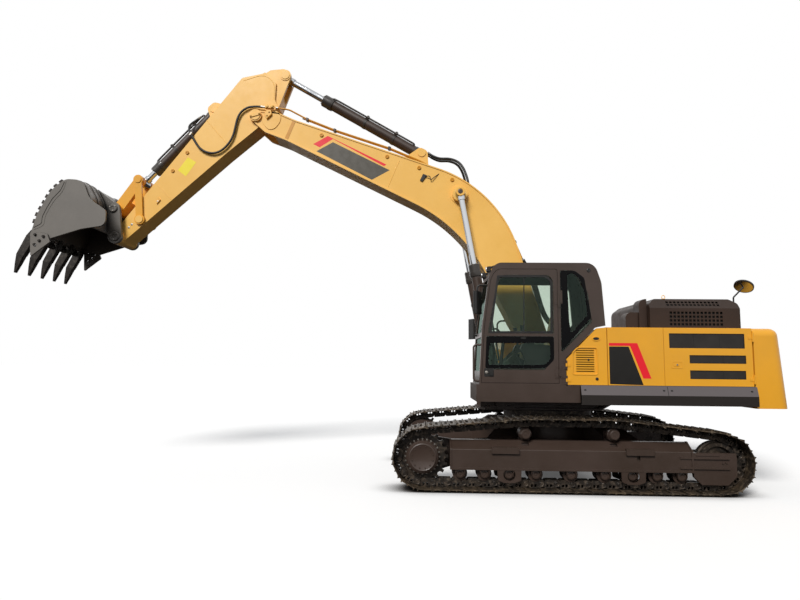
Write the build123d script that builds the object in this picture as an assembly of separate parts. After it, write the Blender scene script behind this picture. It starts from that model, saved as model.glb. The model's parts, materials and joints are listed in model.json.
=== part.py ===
from build123d import *
import math
import os

# Crawler excavator of the 33 tonne class, in millimetres and degrees.
# It is drawn about the swing axis on the ground: +X ahead of the upper structure, towards the
# boom, +Y to the cab's side and +Z up. It parks with the upper structure turned half round, so
# the drive sprockets are at the boom's end. On export it moves along X by ORIGIN_X.
ORIGIN_X = 2610             # swing axis behind the middle of the machine's length

# Fits
RUNNING = 0.3               # radial clearance of a pin in its bore, and of a piece on its seat
SIDE_GAP = 5                # free space on each side of an eye between two ears

# Tracks
GAUGE = 2590                # between the middles of the two tracks
SHOE_WIDTH = 600
SHOE_COUNT = 48
SHOE_PITCH = 216
SHOE_PLATE = 12
GROUSER_HEIGHT = 26
SHOE_SEAT = 62              # pin line to the underside of a shoe
RAIL_HEIGHT = 50            # pin line to the running face of the links
RAIL_INNER = 48             # middle of the chain to the inner face of a link
RAIL_WIDTH = 45
PIN_LINE = SHOE_SEAT + SHOE_PLATE + GROUSER_HEIGHT
SPROCKET_TEETH = 20
SPROCKET_X = 2020
SPROCKET_PITCH_RADIUS = SHOE_PITCH / 2 / math.sin(math.tau / SPROCKET_TEETH)
IDLER_X = -2045
IDLER_PITCH_RADIUS = 330
LINK_SAG = 8                # a straight link dips this far where it crosses a carrier roller
CARRIER_RADIUS = 87
CARRIER_HEIGHT = 778
CARRIER_X = (590, -630)
ROLLER_RADIUS = 85
# Each roller's place along the track, and whether a chain guide hangs round it
ROLLERS = ((1500, False), (1165, False), (830, True), (460, False), (-20, False), (-480, False),
           (-850, True), (-1185, False), (-1515, False))
ROLLER_LENGTH = 300

# Undercarriage frame
FRAME_BOX_WIDTH = 400
FRAME_BOTTOM = 295
FRAME_CHANNEL = 52           # depth of the open channel over the rollers
FRAME_EDGE = 570            # top of the upright outer wall
FRAME_RIDGE = 682
FRAME_ENDS = (-1660, 1640)
FRAME_FLANGE = 22           # thickness of the plates at both ends
GUARD_BARS = {"span": (-2140, -1480), "heights": (348, 482), "tall": 26}
STEP_PADS = ((700, 1075), (-1128, -755))
CARRIER_SLOT = {"half": 50, "low": 620, "high": 655}
GREASE_HOLE = (-928, 478)
CARBODY_BOTTOM = 470
CARBODY_TOP = 865
CARBODY_LEG_X = 880         # where the middle of a leg meets the track frame
TOW_EYE = {"x": 790, "z": 640, "radius": 28, "thick": 50}
RING_RADIUS = 690
RING_BORE = 520
RING_LOWER = 75
RING_UPPER = 100

# Upper structure
MAIN_FLOOR = CARBODY_TOP + RING_LOWER + RUNNING + RING_UPPER
MAIN_FLOOR_THICK = 30
TAIL_RISE = 112             # how much higher the floor is behind the swing ring
MAIN_PLATE = 30             # the two upright plates that carry the boom
DECK_TOP = 1460
DECK_BOTTOM = 1220
DECK_SKIN = 12
DECK_FRONT = 1275           # front of the deck under the cab
RIGHT_FRONT = 1050          # front of the deck and boxes on the other side
BEARER_X = (985, 450, -60, -800, -1500, -2250)
BEARER_BOTTOM = 1235
UPPER_HALF = 1490           # half the width of the upper structure
WELL_HALF = 500             # half the width of the well that the boom drops into
HOUSE_TOP = 2270
HOUSE_FRONT = -545
HOUSE_REAR = -2550
COVER_REAR = -2700          # rear wall of the engine cover, over the counterweight
PANEL = 40
PANEL_GAP = 5
CATWALK_FRONT = -160
CATWALK_OVERHANG = 70       # how far the walkway stands out beyond the house
DOOR_SPLIT = -1320          # between the two left-hand side panels
ENGINE_BOTTOM = 1480
ENGINE_SEATS = (-2130, -1640)
TAIL_RADIUS = 3320
BALLAST_BOTTOM = 1165
BALLAST_LEAN = 80           # how far the tail leans in from bottom to top
BALLAST_CORNER = 140
BALLAST_ROUND = 110

# Cab
CAB_INNER = 520             # the cab's wall beside the boom
CAB_ROOF = 3180
CAB_WALL = 45
GLASS = 6
GLASS_LAP = 22
DOOR_GAP = 6
DOOR_REAR = 130

# Boom, arm and bucket: lengths between pins, and parked angles above the horizontal
FOOT_PIN = (150, 2050)
BOOM_LENGTH = 6105
BOOM_ANGLE = 39.2
BOOM_HALF = 250
BOOM_FLANGE = 12            # how far the top and bottom plates stand out from the webs
ARM_LENGTH = 3100
ARM_ANGLE = -42.9
ARM_HALF = 200
ARM_EAR_HALF = 160          # half the width of the arm's narrower tail
BUCKET_HALF = 750
BUCKET_PLATE = 32
TOOTH_COUNT = 5
WEAR_BLOCK_COUNT = 8
WEAR_BLOCK = 62

# Cylinders: pins in the frames of the pieces that carry them, along and above
BOOM_CYLINDER_BASE = (880, 1600)
BOOM_BEND = 0.354 * BOOM_LENGTH
BOOM_CYLINDER_EYE = (BOOM_BEND + 385, 1111)
BOOM_CYLINDER_Y = 400
ARM_CYLINDER_BASE = (BOOM_BEND + 1360, 1309)
ARM_CYLINDER_EYE = (-862, 237)
BUCKET_CYLINDER_BASE = (439, 656)
ROCKER_PIVOT = (ARM_LENGTH - 476, -18)
ROCKER_LENGTH = 693
ROCKER_ANGLE = 85.0
ROCKER_WAIST = 58
LINK_PIN = (50, 480)        # link pin on the bucket, from the bucket's own pin

# Pin radii and eye widths
FOOT_PIN_RADIUS = 60
TIP_PIN_RADIUS = 55
CYLINDER_PIN_RADIUS = 50
LINK_PIN_RADIUS = 45
CYLINDER_EYE_HALF = 95      # base eyes of the arm and bucket cylinders
ROD_EYE_HALF = 85
PIN_CAP = 14


# Helpers -------------------------------------------------------------------------------------

def outline(corners):
    """A face in the XY plane; each corner is (x, y) or (x, y, fillet radius)."""
    points = [corner[:2] for corner in corners]
    radii = [corner[2] if len(corner) > 2 else 0 for corner in corners]
    return make_face(FilletPolyline(*points, radius=radii, close=True).edges())


def plate(corners, low, high):
    """An outline in (x, z), from the plane y = low to y = high."""
    return Pos(0, high, 0) * extrude(Plane.XZ * outline(corners), high - low)


def slab(corners, low, high):
    """An outline in (x, y), from z = low to z = high."""
    return Pos(0, 0, low) * extrude(outline(corners), high - low)


def beam(corners, low, high):
    """An outline in (y, z), from x = low to x = high."""
    return Pos(low, 0, 0) * extrude(Plane.YZ * outline(corners), high - low)


def block(x, y, z):
    """A box between two values along each axis."""
    size = (x[1] - x[0], y[1] - y[0], z[1] - z[0])
    return Pos((x[0] + x[1]) / 2, (y[0] + y[1]) / 2, (z[0] + z[1]) / 2) * Box(*size)


def disc(centre, radius, low, high):
    """A cylinder across the machine, from y = low to y = high."""
    plane = Plane((centre[0], high, centre[1]), x_dir=(1, 0, 0), z_dir=(0, -1, 0))
    return extrude(plane * Circle(radius), high - low)


def ring(centre, radius, bore, low, high):
    return disc(centre, radius, low, high) - disc(centre, bore, low - 1, high + 1)


def rod_between(start, end, radius):
    """A round bar from one point to another."""
    direction = Vector(*end) - Vector(*start)
    return extrude(Plane(start, z_dir=direction) * Circle(radius), direction.length)


def turned(centre, profile):
    """A solid turned about an axis across the machine; the profile's columns are y and radius."""
    points = [(radius, y) for y, radius in profile]
    face = make_face(Polyline(*points, close=True).edges())
    plane = Plane((centre[0], 0, centre[1]), x_dir=(1, 0, 0), z_dir=(0, 0, 1))
    return revolve(plane * face, Axis((centre[0], 0, centre[1]), (0, 1, 0)))


def strap(first, first_radius, second, second_radius, low, high):
    """A plate round two bosses, with straight sides tangent to both."""
    length = math.dist(first, second)
    turn = math.acos((first_radius - second_radius) / length)
    heading = math.atan2(second[1] - first[1], second[0] - first[0])
    corners = []
    for centre, radius, side in ((first, first_radius, 1), (second, second_radius, 1),
                                 (second, second_radius, -1), (first, first_radius, -1)):
        angle = heading + side * turn
        corners.append((centre[0] + radius * math.cos(angle), centre[1] + radius * math.sin(angle)))
    return (plate(corners, low, high) + disc(first, first_radius, low, high)
            + disc(second, second_radius, low, high))


def mirrored(shape):
    return mirror(shape, about=Plane.XZ)


def pair(shape):
    """A piece and its mirror image on the other side of the machine."""
    return [shape, mirrored(shape)]


def joined(shapes):
    """One shape out of several that touch or overlap."""
    shapes = list(shapes)
    return shapes[0].fuse(*shapes[1:]) if len(shapes) > 1 else shapes[0]


def in_world(frame, point):
    """A point (along, above) of a link's frame, as (x, z); a frame is (x, z, angle)."""
    angle = math.radians(frame[2])
    return (frame[0] + point[0] * math.cos(angle) - point[1] * math.sin(angle),
            frame[1] + point[0] * math.sin(angle) + point[1] * math.cos(angle))


def placed(frame, shape):
    """A shape drawn in a link's own frame, moved to where the link stands."""
    return Pos(frame[0], 0, frame[1]) * Rot(0, -frame[2], 0) * shape


# Where the links stand -----------------------------------------------------------------------

BOOM = (*FOOT_PIN, BOOM_ANGLE)
BOOM_TIP = in_world(BOOM, (BOOM_LENGTH, 0))
ARM = (*BOOM_TIP, ARM_ANGLE)
BUCKET_PIN = in_world(ARM, (ARM_LENGTH, 0))
BUCKET = (*BUCKET_PIN, 0)
ROCKER_BASE = in_world(ARM, ROCKER_PIVOT)
ROCKER_TOP = in_world((*ROCKER_BASE, ROCKER_ANGLE), (ROCKER_LENGTH, 0))
LINK_BASE = in_world(BUCKET, LINK_PIN)

SPROCKET_Z = PIN_LINE + SPROCKET_PITCH_RADIUS
IDLER_Z = PIN_LINE + IDLER_PITCH_RADIUS
IDLER_RADIUS = math.sqrt(IDLER_PITCH_RADIUS ** 2 - (SHOE_PITCH / 2 + 2) ** 2) - RAIL_HEIGHT
ROLLER_Z = PIN_LINE + RAIL_HEIGHT + ROLLER_RADIUS + RUNNING
TRACK_Y = GAUGE / 2
WEB_INNER = BOOM_HALF + 30 + SIDE_GAP
WEB_FOOT = MAIN_FLOOR + MAIN_FLOOR_THICK
TAIL_FOOT = WEB_FOOT + TAIL_RISE
FLOOR_RAMP = (-RING_RADIUS - 30, -RING_RADIUS - 230)
HOUSE_HALF = UPPER_HALF - PANEL - PANEL_GAP


# Tracks --------------------------------------------------------------------------------------

def belt(wheels, count):
    """Evenly spaced points on a belt round wheels (x, z, radius), listed anticlockwise."""
    normals = []
    for (x, z, radius), (next_x, next_z, next_radius) in zip(wheels, wheels[1:] + wheels[:1]):
        span = math.hypot(next_x - x, next_z - z)
        heading = math.atan2(next_z - z, next_x - x)
        normals.append(heading - math.acos((radius - next_radius) / span))
    stretches = []
    for index, (x, z, radius) in enumerate(wheels):
        start = normals[index - 1]
        turn = (normals[index] - start) % math.tau
        stretches.append((radius * turn, (x, z, radius, start)))
        next_x, next_z, next_radius = wheels[(index + 1) % len(wheels)]
        side = (math.cos(normals[index]), math.sin(normals[index]))
        begin = (x + radius * side[0], z + radius * side[1])
        end = (next_x + next_radius * side[0], next_z + next_radius * side[1])
        stretches.append((math.dist(begin, end), (begin, end)))
    total = sum(length for length, _ in stretches)
    points = []
    for step in range(count):
        travel = total * step / count
        for length, shape in stretches:
            if travel <= length:
                break
            travel -= length
        if len(shape) == 4:
            x, z, radius, start = shape
            angle = start + travel / radius
            points.append((x + radius * math.cos(angle), z + radius * math.sin(angle)))
        else:
            begin, end = shape
            share = travel / length
            points.append(tuple(a + share * (b - a) for a, b in zip(begin, end)))
    return points


def track_pins():
    carrier = CARRIER_RADIUS + RAIL_HEIGHT + LINK_SAG
    wheels = [(IDLER_X, IDLER_Z, IDLER_PITCH_RADIUS),
              (SPROCKET_X, SPROCKET_Z, SPROCKET_PITCH_RADIUS)]
    wheels += [(x, CARRIER_HEIGHT, carrier) for x in CARRIER_X]
    return belt(wheels, SHOE_COUNT)


def chain_loop(pins, offset):
    """The pin line moved outwards, without the corners that lie on straight runs."""
    corners = []
    for index, (x, z) in enumerate(pins):
        before, after = pins[index - 1], pins[(index + 1) % len(pins)]
        into = math.atan2(z - before[1], x - before[0])
        out = math.atan2(after[1] - z, after[0] - x)
        bend = (out - into + math.pi) % math.tau - math.pi
        if abs(bend) > 1e-4:
            normal = into + bend / 2 - math.pi / 2
            reach = offset / math.cos(bend / 2)
            corners.append((x + reach * math.cos(normal), z + reach * math.sin(normal)))
    return corners


# One shoe from its leading edge to its trailing edge: share of the pitch, height on the plate
GROUSERS = ((-0.48, 1), (-0.43, 1), (-0.39, 0), (-0.05, 0), (-0.03, 1),
            (0.03, 1), (0.05, 0), (0.39, 0), (0.43, 1), (0.48, 1))


def shoe_loop(pins):
    """The outer line of all the shoes, with a groove between each two."""
    corners = []
    for (x, z), (next_x, next_z) in zip(pins, pins[1:] + pins[:1]):
        pitch = math.hypot(next_x - x, next_z - z)
        along = ((next_x - x) / pitch, (next_z - z) / pitch)
        out = (along[1], -along[0])
        corners.append((x + out[0] * (SHOE_SEAT + 3), z + out[1] * (SHOE_SEAT + 3)))
        for share, ridge in GROUSERS:
            travel = (0.5 + share) * pitch
            height = SHOE_SEAT + SHOE_PLATE + ridge * GROUSER_HEIGHT
            corners.append((x + along[0] * travel + out[0] * height,
                            z + along[1] * travel + out[1] * height))
    return corners


def flat_loop(corners, low, high):
    face = make_face(Polyline(*corners, close=True).edges())
    return Pos(0, high, 0) * extrude(Plane.XZ * face, high - low)


def track():
    """One closed loop of shoes on two rails of links."""
    pins = track_pins()
    half = SHOE_WIDTH / 2
    seat = chain_loop(pins, SHOE_SEAT)
    shoes = flat_loop(shoe_loop(pins), TRACK_Y - half, TRACK_Y + half)
    shoes -= flat_loop(seat, TRACK_Y - half - 1, TRACK_Y + half + 1)
    rails = []
    for side in (-1, 1):
        edges = sorted((TRACK_Y + side * RAIL_INNER, TRACK_Y + side * (RAIL_INNER + RAIL_WIDTH)))
        rail = flat_loop(seat, *edges)
        rail -= flat_loop(chain_loop(pins, -RAIL_HEIGHT), edges[0] - 1, edges[1] + 1)
        rails.append(rail)
    return joined([shoes] + rails)


def sprocket():
    """A toothed ring; its seats hold the chain's bushes at the pitch radius."""
    centre = (SPROCKET_X, SPROCKET_Z)
    half = RAIL_INNER - 8
    wheel = ring(centre, SPROCKET_PITCH_RADIUS + 12, 200, TRACK_Y - half, TRACK_Y + half)
    seats = []
    for index in range(SPROCKET_TEETH):
        angle = math.tau * (index + 0.5) / SPROCKET_TEETH
        seat = (centre[0] + SPROCKET_PITCH_RADIUS * math.cos(angle),
                centre[1] + SPROCKET_PITCH_RADIUS * math.sin(angle))
        seats.append(disc(seat, 38, TRACK_Y - half - 1, TRACK_Y + half + 1))
    return wheel.cut(*seats)


def final_drive():
    """The motor and gear hub that carries a sprocket, in the end of the track frame."""
    half = RAIL_INNER - 8
    return turned((SPROCKET_X, SPROCKET_Z), (
        (TRACK_Y - 330, 0), (TRACK_Y - 330, 150), (TRACK_Y - 160, 150), (TRACK_Y - 160, 260),
        (TRACK_Y - half - 2, 260), (TRACK_Y - half - 2, 200 - RUNNING),
        (TRACK_Y + half + 2, 200 - RUNNING), (TRACK_Y + half + 2, 245), (TRACK_Y + half + 30, 245),
        (TRACK_Y + half + 50, 226), (TRACK_Y + 165, 222), (TRACK_Y + 180, 205),
        (TRACK_Y + 180, 0)))


def idler():
    """A wheel with a raised middle rim that runs between the links."""
    rim = IDLER_RADIUS - RUNNING
    edge = RAIL_INNER + RAIL_WIDTH
    return turned((IDLER_X, IDLER_Z), (
        (TRACK_Y - 190, 0), (TRACK_Y - 190, 60 - RUNNING), (TRACK_Y - 120, 60 - RUNNING),
        (TRACK_Y - 120, 75), (TRACK_Y - edge, 110), (TRACK_Y - 40, 150),
        (TRACK_Y - 40, rim - 70), (TRACK_Y - edge, rim - 50), (TRACK_Y - edge, rim),
        (TRACK_Y - RAIL_INNER + 4, rim), (TRACK_Y - RAIL_INNER + 10, rim + 22),
        (TRACK_Y + RAIL_INNER - 10, rim + 22), (TRACK_Y + RAIL_INNER - 4, rim),
        (TRACK_Y + edge, rim), (TRACK_Y + edge, rim - 50), (TRACK_Y + 40, rim - 70),
        (TRACK_Y + 40, 150), (TRACK_Y + edge, 110), (TRACK_Y + 120, 75),
        (TRACK_Y + 120, 60 - RUNNING), (TRACK_Y + 150, 60 - RUNNING), (TRACK_Y + 150, 0)))


def track_roller(x):
    edge = RAIL_INNER + RAIL_WIDTH
    half = ROLLER_LENGTH / 2
    flange = ROLLER_RADIUS + 18
    return turned((x, ROLLER_Z), (
        (TRACK_Y - half, 0), (TRACK_Y - half, 62), (TRACK_Y - edge - 14, 62),
        (TRACK_Y - edge - 12, flange), (TRACK_Y - edge - 2, flange),
        (TRACK_Y - edge - 1, ROLLER_RADIUS), (TRACK_Y + edge + 1, ROLLER_RADIUS),
        (TRACK_Y + edge + 2, flange), (TRACK_Y + edge + 12, flange), (TRACK_Y + edge + 14, 62),
        (TRACK_Y + half, 62), (TRACK_Y + half, 0)))


def carrier_roller(x):
    edge = RAIL_INNER + RAIL_WIDTH
    return turned((x, CARRIER_HEIGHT), (
        (TRACK_Y - edge - 60, 0), (TRACK_Y - edge - 60, 40), (TRACK_Y - edge - 4, 40),
        (TRACK_Y - edge - 4, CARRIER_RADIUS), (TRACK_Y + edge, CARRIER_RADIUS),
        (TRACK_Y + edge + 4, 80), (TRACK_Y + edge + 40, 70), (TRACK_Y + edge + 46, 0)))


# Undercarriage -------------------------------------------------------------------------------

def track_frame():
    """The box beam between sprocket and idler, with what is welded to it."""
    inner = TRACK_Y - FRAME_BOX_WIDTH / 2
    outer = TRACK_Y + FRAME_BOX_WIDTH / 2
    channel = FRAME_BOTTOM + FRAME_CHANNEL
    section = ((inner, FRAME_BOTTOM), (inner + 40, FRAME_BOTTOM), (inner + 60, channel),
               (outer - 60, channel), (outer - 40, FRAME_BOTTOM),
               (outer, FRAME_BOTTOM), (outer, FRAME_EDGE, 12),
               (TRACK_Y + 30, FRAME_RIDGE, 20), (TRACK_Y - 60, FRAME_RIDGE, 20),
               (inner, FRAME_RIDGE - 20, 12))
    body = beam(section, *FRAME_ENDS)
    lip = block(FRAME_ENDS, (outer - 1, outer + 16), (FRAME_BOTTOM, FRAME_BOTTOM + 26))
    collar = ((TRACK_Y, FRAME_BOTTOM + FRAME_CHANNEL), (outer - 40, FRAME_BOTTOM + FRAME_CHANNEL),
              (outer - 40, FRAME_BOTTOM), (outer + 16, FRAME_BOTTOM), (outer + 16, FRAME_EDGE + 6, 16),
              (TRACK_Y + 36, FRAME_RIDGE + 12, 20), (TRACK_Y, FRAME_RIDGE + 12))
    flanges = [beam(collar, FRAME_ENDS[0], FRAME_ENDS[0] + FRAME_FLANGE),
               beam(collar, FRAME_ENDS[1] - FRAME_FLANGE, FRAME_ENDS[1])]
    bars = [block(GUARD_BARS["span"], (outer - 1, outer + 18), (low, low + GUARD_BARS["tall"]))
            for low in GUARD_BARS["heights"]]
    pieces = [body, lip, *flanges, *bars]
    # the drive end's bracket, round the final drive on the inner side
    cheek = plate(((FRAME_ENDS[1] - 60, FRAME_BOTTOM), (SPROCKET_X - 90, SPROCKET_Z - 265),
                   (SPROCKET_X - 90, SPROCKET_Z + 265), (FRAME_ENDS[1] - 60, FRAME_RIDGE - 20)),
                  inner, inner + 40)
    cheek += disc((SPROCKET_X, SPROCKET_Z), 280, inner, inner + 40)
    cheek -= disc((SPROCKET_X, SPROCKET_Z), 150 + RUNNING, inner - 1, inner + 41)
    pieces.append(cheek)
    for roller_x, guarded in ROLLERS:
        for low, high in ((-190, -ROLLER_LENGTH / 2 + 12), (ROLLER_LENGTH / 2 - 12, 190)):
            pieces.append(roller_hanger(roller_x, TRACK_Y + low, TRACK_Y + high))
        if guarded:
            pieces.append(roller_guard(roller_x, outer - 12, outer + 12))
            pieces.append(roller_guard(roller_x, inner - 12, inner + 12))
    for x in CARRIER_X:
        post = plate(((x - 60, FRAME_RIDGE - 60), (x + 60, FRAME_RIDGE - 60),
                      (x + 45, CARRIER_HEIGHT + 45, 20), (x - 45, CARRIER_HEIGHT + 45, 20)),
                     inner, inner + 50)
        pieces.append(post - disc((x, CARRIER_HEIGHT), 40 + RUNNING, inner - 1, inner + 51))
    for span in STEP_PADS:
        pieces.append(block(span, (outer - 40, outer + 40), (FRAME_EDGE - 50, FRAME_EDGE + 35)))
    holes = [disc((GREASE_HOLE[0], GREASE_HOLE[1] + rise), 24, outer - 40, outer + 50)
             for rise in (-12, 12)]
    slot = CARRIER_SLOT
    holes += [block((x - slot["half"], x + slot["half"]), (TRACK_Y + 40, outer + 1),
                    (slot["low"], slot["high"])) for x in CARRIER_X]
    return joined(pieces).cut(*holes)


def roller_hanger(x, low, high):
    """The collar that holds one end of a roller's shaft under the frame."""
    body = plate(((x - 70, FRAME_BOTTOM + 25), (x - 62, ROLLER_Z - 40, 30),
                  (x + 62, ROLLER_Z - 40, 30), (x + 70, FRAME_BOTTOM + 25)), low, high)
    return body - disc((x, ROLLER_Z), 62 + RUNNING, low - 1, high + 1)


def roller_guard(x, low, high):
    """A chain guide: a hanging plate with a window round the roller's end."""
    skirt = plate(((x - 165, FRAME_BOTTOM + 10), (x - 160, 160, 40), (x - 70, 128, 30),
                   (x + 70, 128, 30), (x + 160, 160, 40), (x + 165, FRAME_BOTTOM + 10)), low, high)
    return skirt - disc((x, ROLLER_Z), 82, low - 1, high + 1)


def idler_yoke():
    """The two side plates that hold the idler's shaft, joined behind the wheel."""
    side = plate(((FRAME_ENDS[0], 300), (FRAME_ENDS[0] - 12, 235), (-1772, 136, 20),
                  (-2125, 136, 20), (-2245, 260, 20), (-2245, 560, 15), (FRAME_ENDS[0], 560)),
                 TRACK_Y + 130, TRACK_Y + 190)
    other = plate(((FRAME_ENDS[0], 300), (-2235, 330, 20), (-2245, 560, 15),
                   (FRAME_ENDS[0], 560)), TRACK_Y - 190, TRACK_Y - 130)
    web = block((-1740, FRAME_ENDS[0]), (TRACK_Y - 131, TRACK_Y + 131), (330, 555))
    yoke = joined([side, other, web])
    return yoke - disc((IDLER_X, IDLER_Z), 60, TRACK_Y - 200, TRACK_Y + 150)


def carbody():
    """The X-shaped middle of the undercarriage: its plan cut by its section."""
    inner = TRACK_Y - FRAME_BOX_WIDTH / 2
    legs = [slab(((0, -180), (CARBODY_LEG_X - 230, inner), (CARBODY_LEG_X + 230, inner),
                  (250, -100)), 0, 1000)]
    legs += [mirror(legs[0], about=Plane.YZ)]
    legs += [mirrored(leg) for leg in list(legs)]
    plan = joined(legs + [Cylinder(RING_RADIUS + 30, 2000)])
    shoulder = RING_RADIUS + 60
    section = beam(((-inner, 400), (-shoulder, CARBODY_BOTTOM), (shoulder, CARBODY_BOTTOM),
                    (inner, 400), (inner, 660), (shoulder, CARBODY_TOP), (-shoulder, CARBODY_TOP),
                    (-inner, 660)), -1500, 1500)
    body = plan & section
    x, z, half = TOW_EYE["x"], TOW_EYE["z"], TOW_EYE["thick"] / 2
    lug = slab(((RING_RADIUS, -110), (x + 60, -75, 55), (x + 60, 75, 55), (RING_RADIUS, 110)),
               z - half, z + half)
    lug -= Pos(x, 0, z) * Cylinder(TOW_EYE["radius"], TOW_EYE["thick"] + 2)
    body = joined([body, lug, mirror(lug, about=Plane.YZ)])
    return body - Pos(0, 0, CARBODY_TOP) * Cylinder(RING_BORE - 60, 200)


def swing_ring(low, high):
    ring_solid = Cylinder(RING_RADIUS, high - low) - Cylinder(RING_BORE, high - low + 2)
    return Pos(0, 0, (low + high) / 2) * ring_solid


# Upper frame ---------------------------------------------------------------------------------

def main_floor():
    """The bottom plate: flat over the swing ring, then up a ramp to the higher tail."""
    plan = slab(((1050, -WELL_HALF), (1120, -WELL_HALF + 150, 60), (1120, WELL_HALF - 150, 60),
                 (1050, WELL_HALF), (HOUSE_REAR, WELL_HALF), (HOUSE_REAR, -WELL_HALF)), 0, 2000)
    ramp, tail = FLOOR_RAMP
    profile = ((1200, MAIN_FLOOR), (1200, WEB_FOOT), (ramp, WEB_FOOT), (tail, TAIL_FOOT),
               (HOUSE_REAR, TAIL_FOOT), (HOUSE_REAR, TAIL_FOOT - MAIN_FLOOR_THICK),
               (tail - 8, TAIL_FOOT - MAIN_FLOOR_THICK), (ramp - 8, MAIN_FLOOR))
    return plate(profile, -WELL_HALF, WELL_HALF) & plan


def main_web():
    """An upright plate on the floor, with the bosses of its pins and the engine's seats."""
    base, foot = BOOM_CYLINDER_BASE, FOOT_PIN
    outer = WEB_INNER + MAIN_PLATE
    web = plate(((1100, WEB_FOOT), (1100, 1300, 60), (base[0] + 60, base[1] - 60, 60),
                 (base[0] + 40, base[1] + 60, 50), (base[0] - 60, base[1] + 80, 60),
                 (foot[0] + 190, foot[1] + 60, 130), (foot[0] - 30, foot[1] + 190, 130),
                 (foot[0] - 200, foot[1], 130), (HOUSE_FRONT + 70, 1450, 300), (-1200, 1300, 300),
                 (HOUSE_REAR, 1300), (HOUSE_REAR, TAIL_FOOT), (FLOOR_RAMP[1], TAIL_FOOT),
                 (FLOOR_RAMP[0], WEB_FOOT)), WEB_INNER, outer)
    eye_low = BOOM_CYLINDER_Y - 55 - SIDE_GAP
    eye_high = BOOM_CYLINDER_Y + 55 + SIDE_GAP
    bosses = [disc(foot, 150, WEB_INNER, outer + 25), disc(base, 78, WEB_INNER, eye_low)]
    ear = strap(base, 78, (base[0] - 90, WEB_FOOT + 100), 95, eye_high, eye_high + 30)
    tie = block((base[0] - 290, base[0] + 110), (WEB_INNER, eye_high + 30),
                (WEB_FOOT, WEB_FOOT + 30))
    seats = [block((x - 60, x + 60), (WEB_INNER - 40, outer + 40), (1290, ENGINE_BOTTOM))
             for x in ENGINE_SEATS]
    side = joined([web, *bosses, ear, tie, *seats])
    for centre, radius in ((foot, FOOT_PIN_RADIUS), (base, CYLINDER_PIN_RADIUS)):
        side -= disc(centre, radius + RUNNING, WEB_INNER - 10, eye_high + 60)
    return side


def deck_bearer(x):
    """A box bracket from a main web out to the deck's side skirt."""
    return block((x - 45, x + 45), (WEB_INNER + MAIN_PLATE, UPPER_HALF - DECK_SKIN),
                 (BEARER_BOTTOM, DECK_TOP - DECK_SKIN))


def frame_pins():
    """Boom foot pin and the two base pins of the boom cylinders."""
    reach = WEB_INNER + MAIN_PLATE + 25
    foot = joined([disc(FOOT_PIN, FOOT_PIN_RADIUS, -reach, reach),
                   disc(FOOT_PIN, 95, reach, reach + PIN_CAP),
                   disc(FOOT_PIN, 95, -reach - PIN_CAP, -reach)])
    ear = BOOM_CYLINDER_Y + 55 + SIDE_GAP + 30
    base = disc(BOOM_CYLINDER_BASE, CYLINDER_PIN_RADIUS, WEB_INNER, ear)
    base += disc(BOOM_CYLINDER_BASE, 68, ear, ear + PIN_CAP)
    return [foot] + pair(base)


def deck(front):
    """The deck beside the boom's well: a top plate with skirts at front, side and rear."""
    body = block((CATWALK_FRONT, front), (WELL_HALF, UPPER_HALF), (DECK_BOTTOM, DECK_TOP))
    return body - block((CATWALK_FRONT + DECK_SKIN, front - DECK_SKIN),
                        (WELL_HALF - 1, UPPER_HALF - DECK_SKIN),
                        (DECK_BOTTOM - 1, DECK_TOP - DECK_SKIN))


def catwalk():
    """The walkway beside the house, a folded plate with a sloping edge."""
    edge, skin = UPPER_HALF + CATWALK_OVERHANG, 10
    seat = HOUSE_HALF
    section = ((seat, DECK_TOP), (edge - 40, DECK_TOP), (edge, DECK_TOP - 130),
               (edge, DECK_BOTTOM - 25), (edge - 60, DECK_BOTTOM - 25),
               (edge - 60, DECK_BOTTOM - 15), (edge - skin, DECK_BOTTOM - 15),
               (edge - skin, DECK_TOP - 131), (edge - 47, DECK_TOP - skin), (seat, DECK_TOP - skin))
    return beam(section, HOUSE_REAR, CATWALK_FRONT)


def ballast_plan(radius, height):
    """The counterweight's plan at one height: straight sides and an arc about the swing axis."""
    half = UPPER_HALF
    corner_x = -math.sqrt(radius ** 2 - half ** 2)
    with BuildSketch(Plane.XY.offset(height)) as plan:
        with BuildLine():
            Polyline((corner_x, half), (HOUSE_REAR, half), (HOUSE_REAR, -half), (corner_x, -half))
            ThreePointArc((corner_x, -half), (-radius, 0), (corner_x, half))
        make_face()
        fillet(plan.vertices().sort_by(Axis.X)[:2], BALLAST_CORNER)
    return plan.sketch


def counterweight():
    """A casting that leans in a little towards its top, with its rear edges rounded."""
    body = loft([ballast_plan(TAIL_RADIUS, BALLAST_BOTTOM),
                 ballast_plan(TAIL_RADIUS - BALLAST_LEAN, HOUSE_TOP)], ruled=True)
    rear = body.edges().filter_by(lambda edge: edge.bounding_box().max.X < HOUSE_REAR - 1
                                  or edge.bounding_box().size.X > 100)
    top = rear.filter_by(lambda edge: edge.bounding_box().min.Z > HOUSE_TOP - 1
                         and edge.center().X < HOUSE_REAR - 200)
    body = fillet(top, BALLAST_ROUND)
    return joined([body] + cover_hinges())


# House ---------------------------------------------------------------------------------------

def side_panel(front, rear, side):
    """A flat door or panel in the house's side wall."""
    reach = sorted((side * HOUSE_HALF, side * UPPER_HALF))
    return block((rear, front), reach, (DECK_TOP + PANEL_GAP, HOUSE_TOP - PANEL_GAP))


# Grilles of the rear side door: front, rear, low and high edge
DOOR_GRILLES = ((-1400, -2430, 1985, 2190), (-1670, -2440, 1775, 1890), (-1670, -2430, 1560, 1680))
SLAT_PITCH = 60
SIDE_DOOR_GAP = 20          # room for the hinge leaves beside the counterweight


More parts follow.
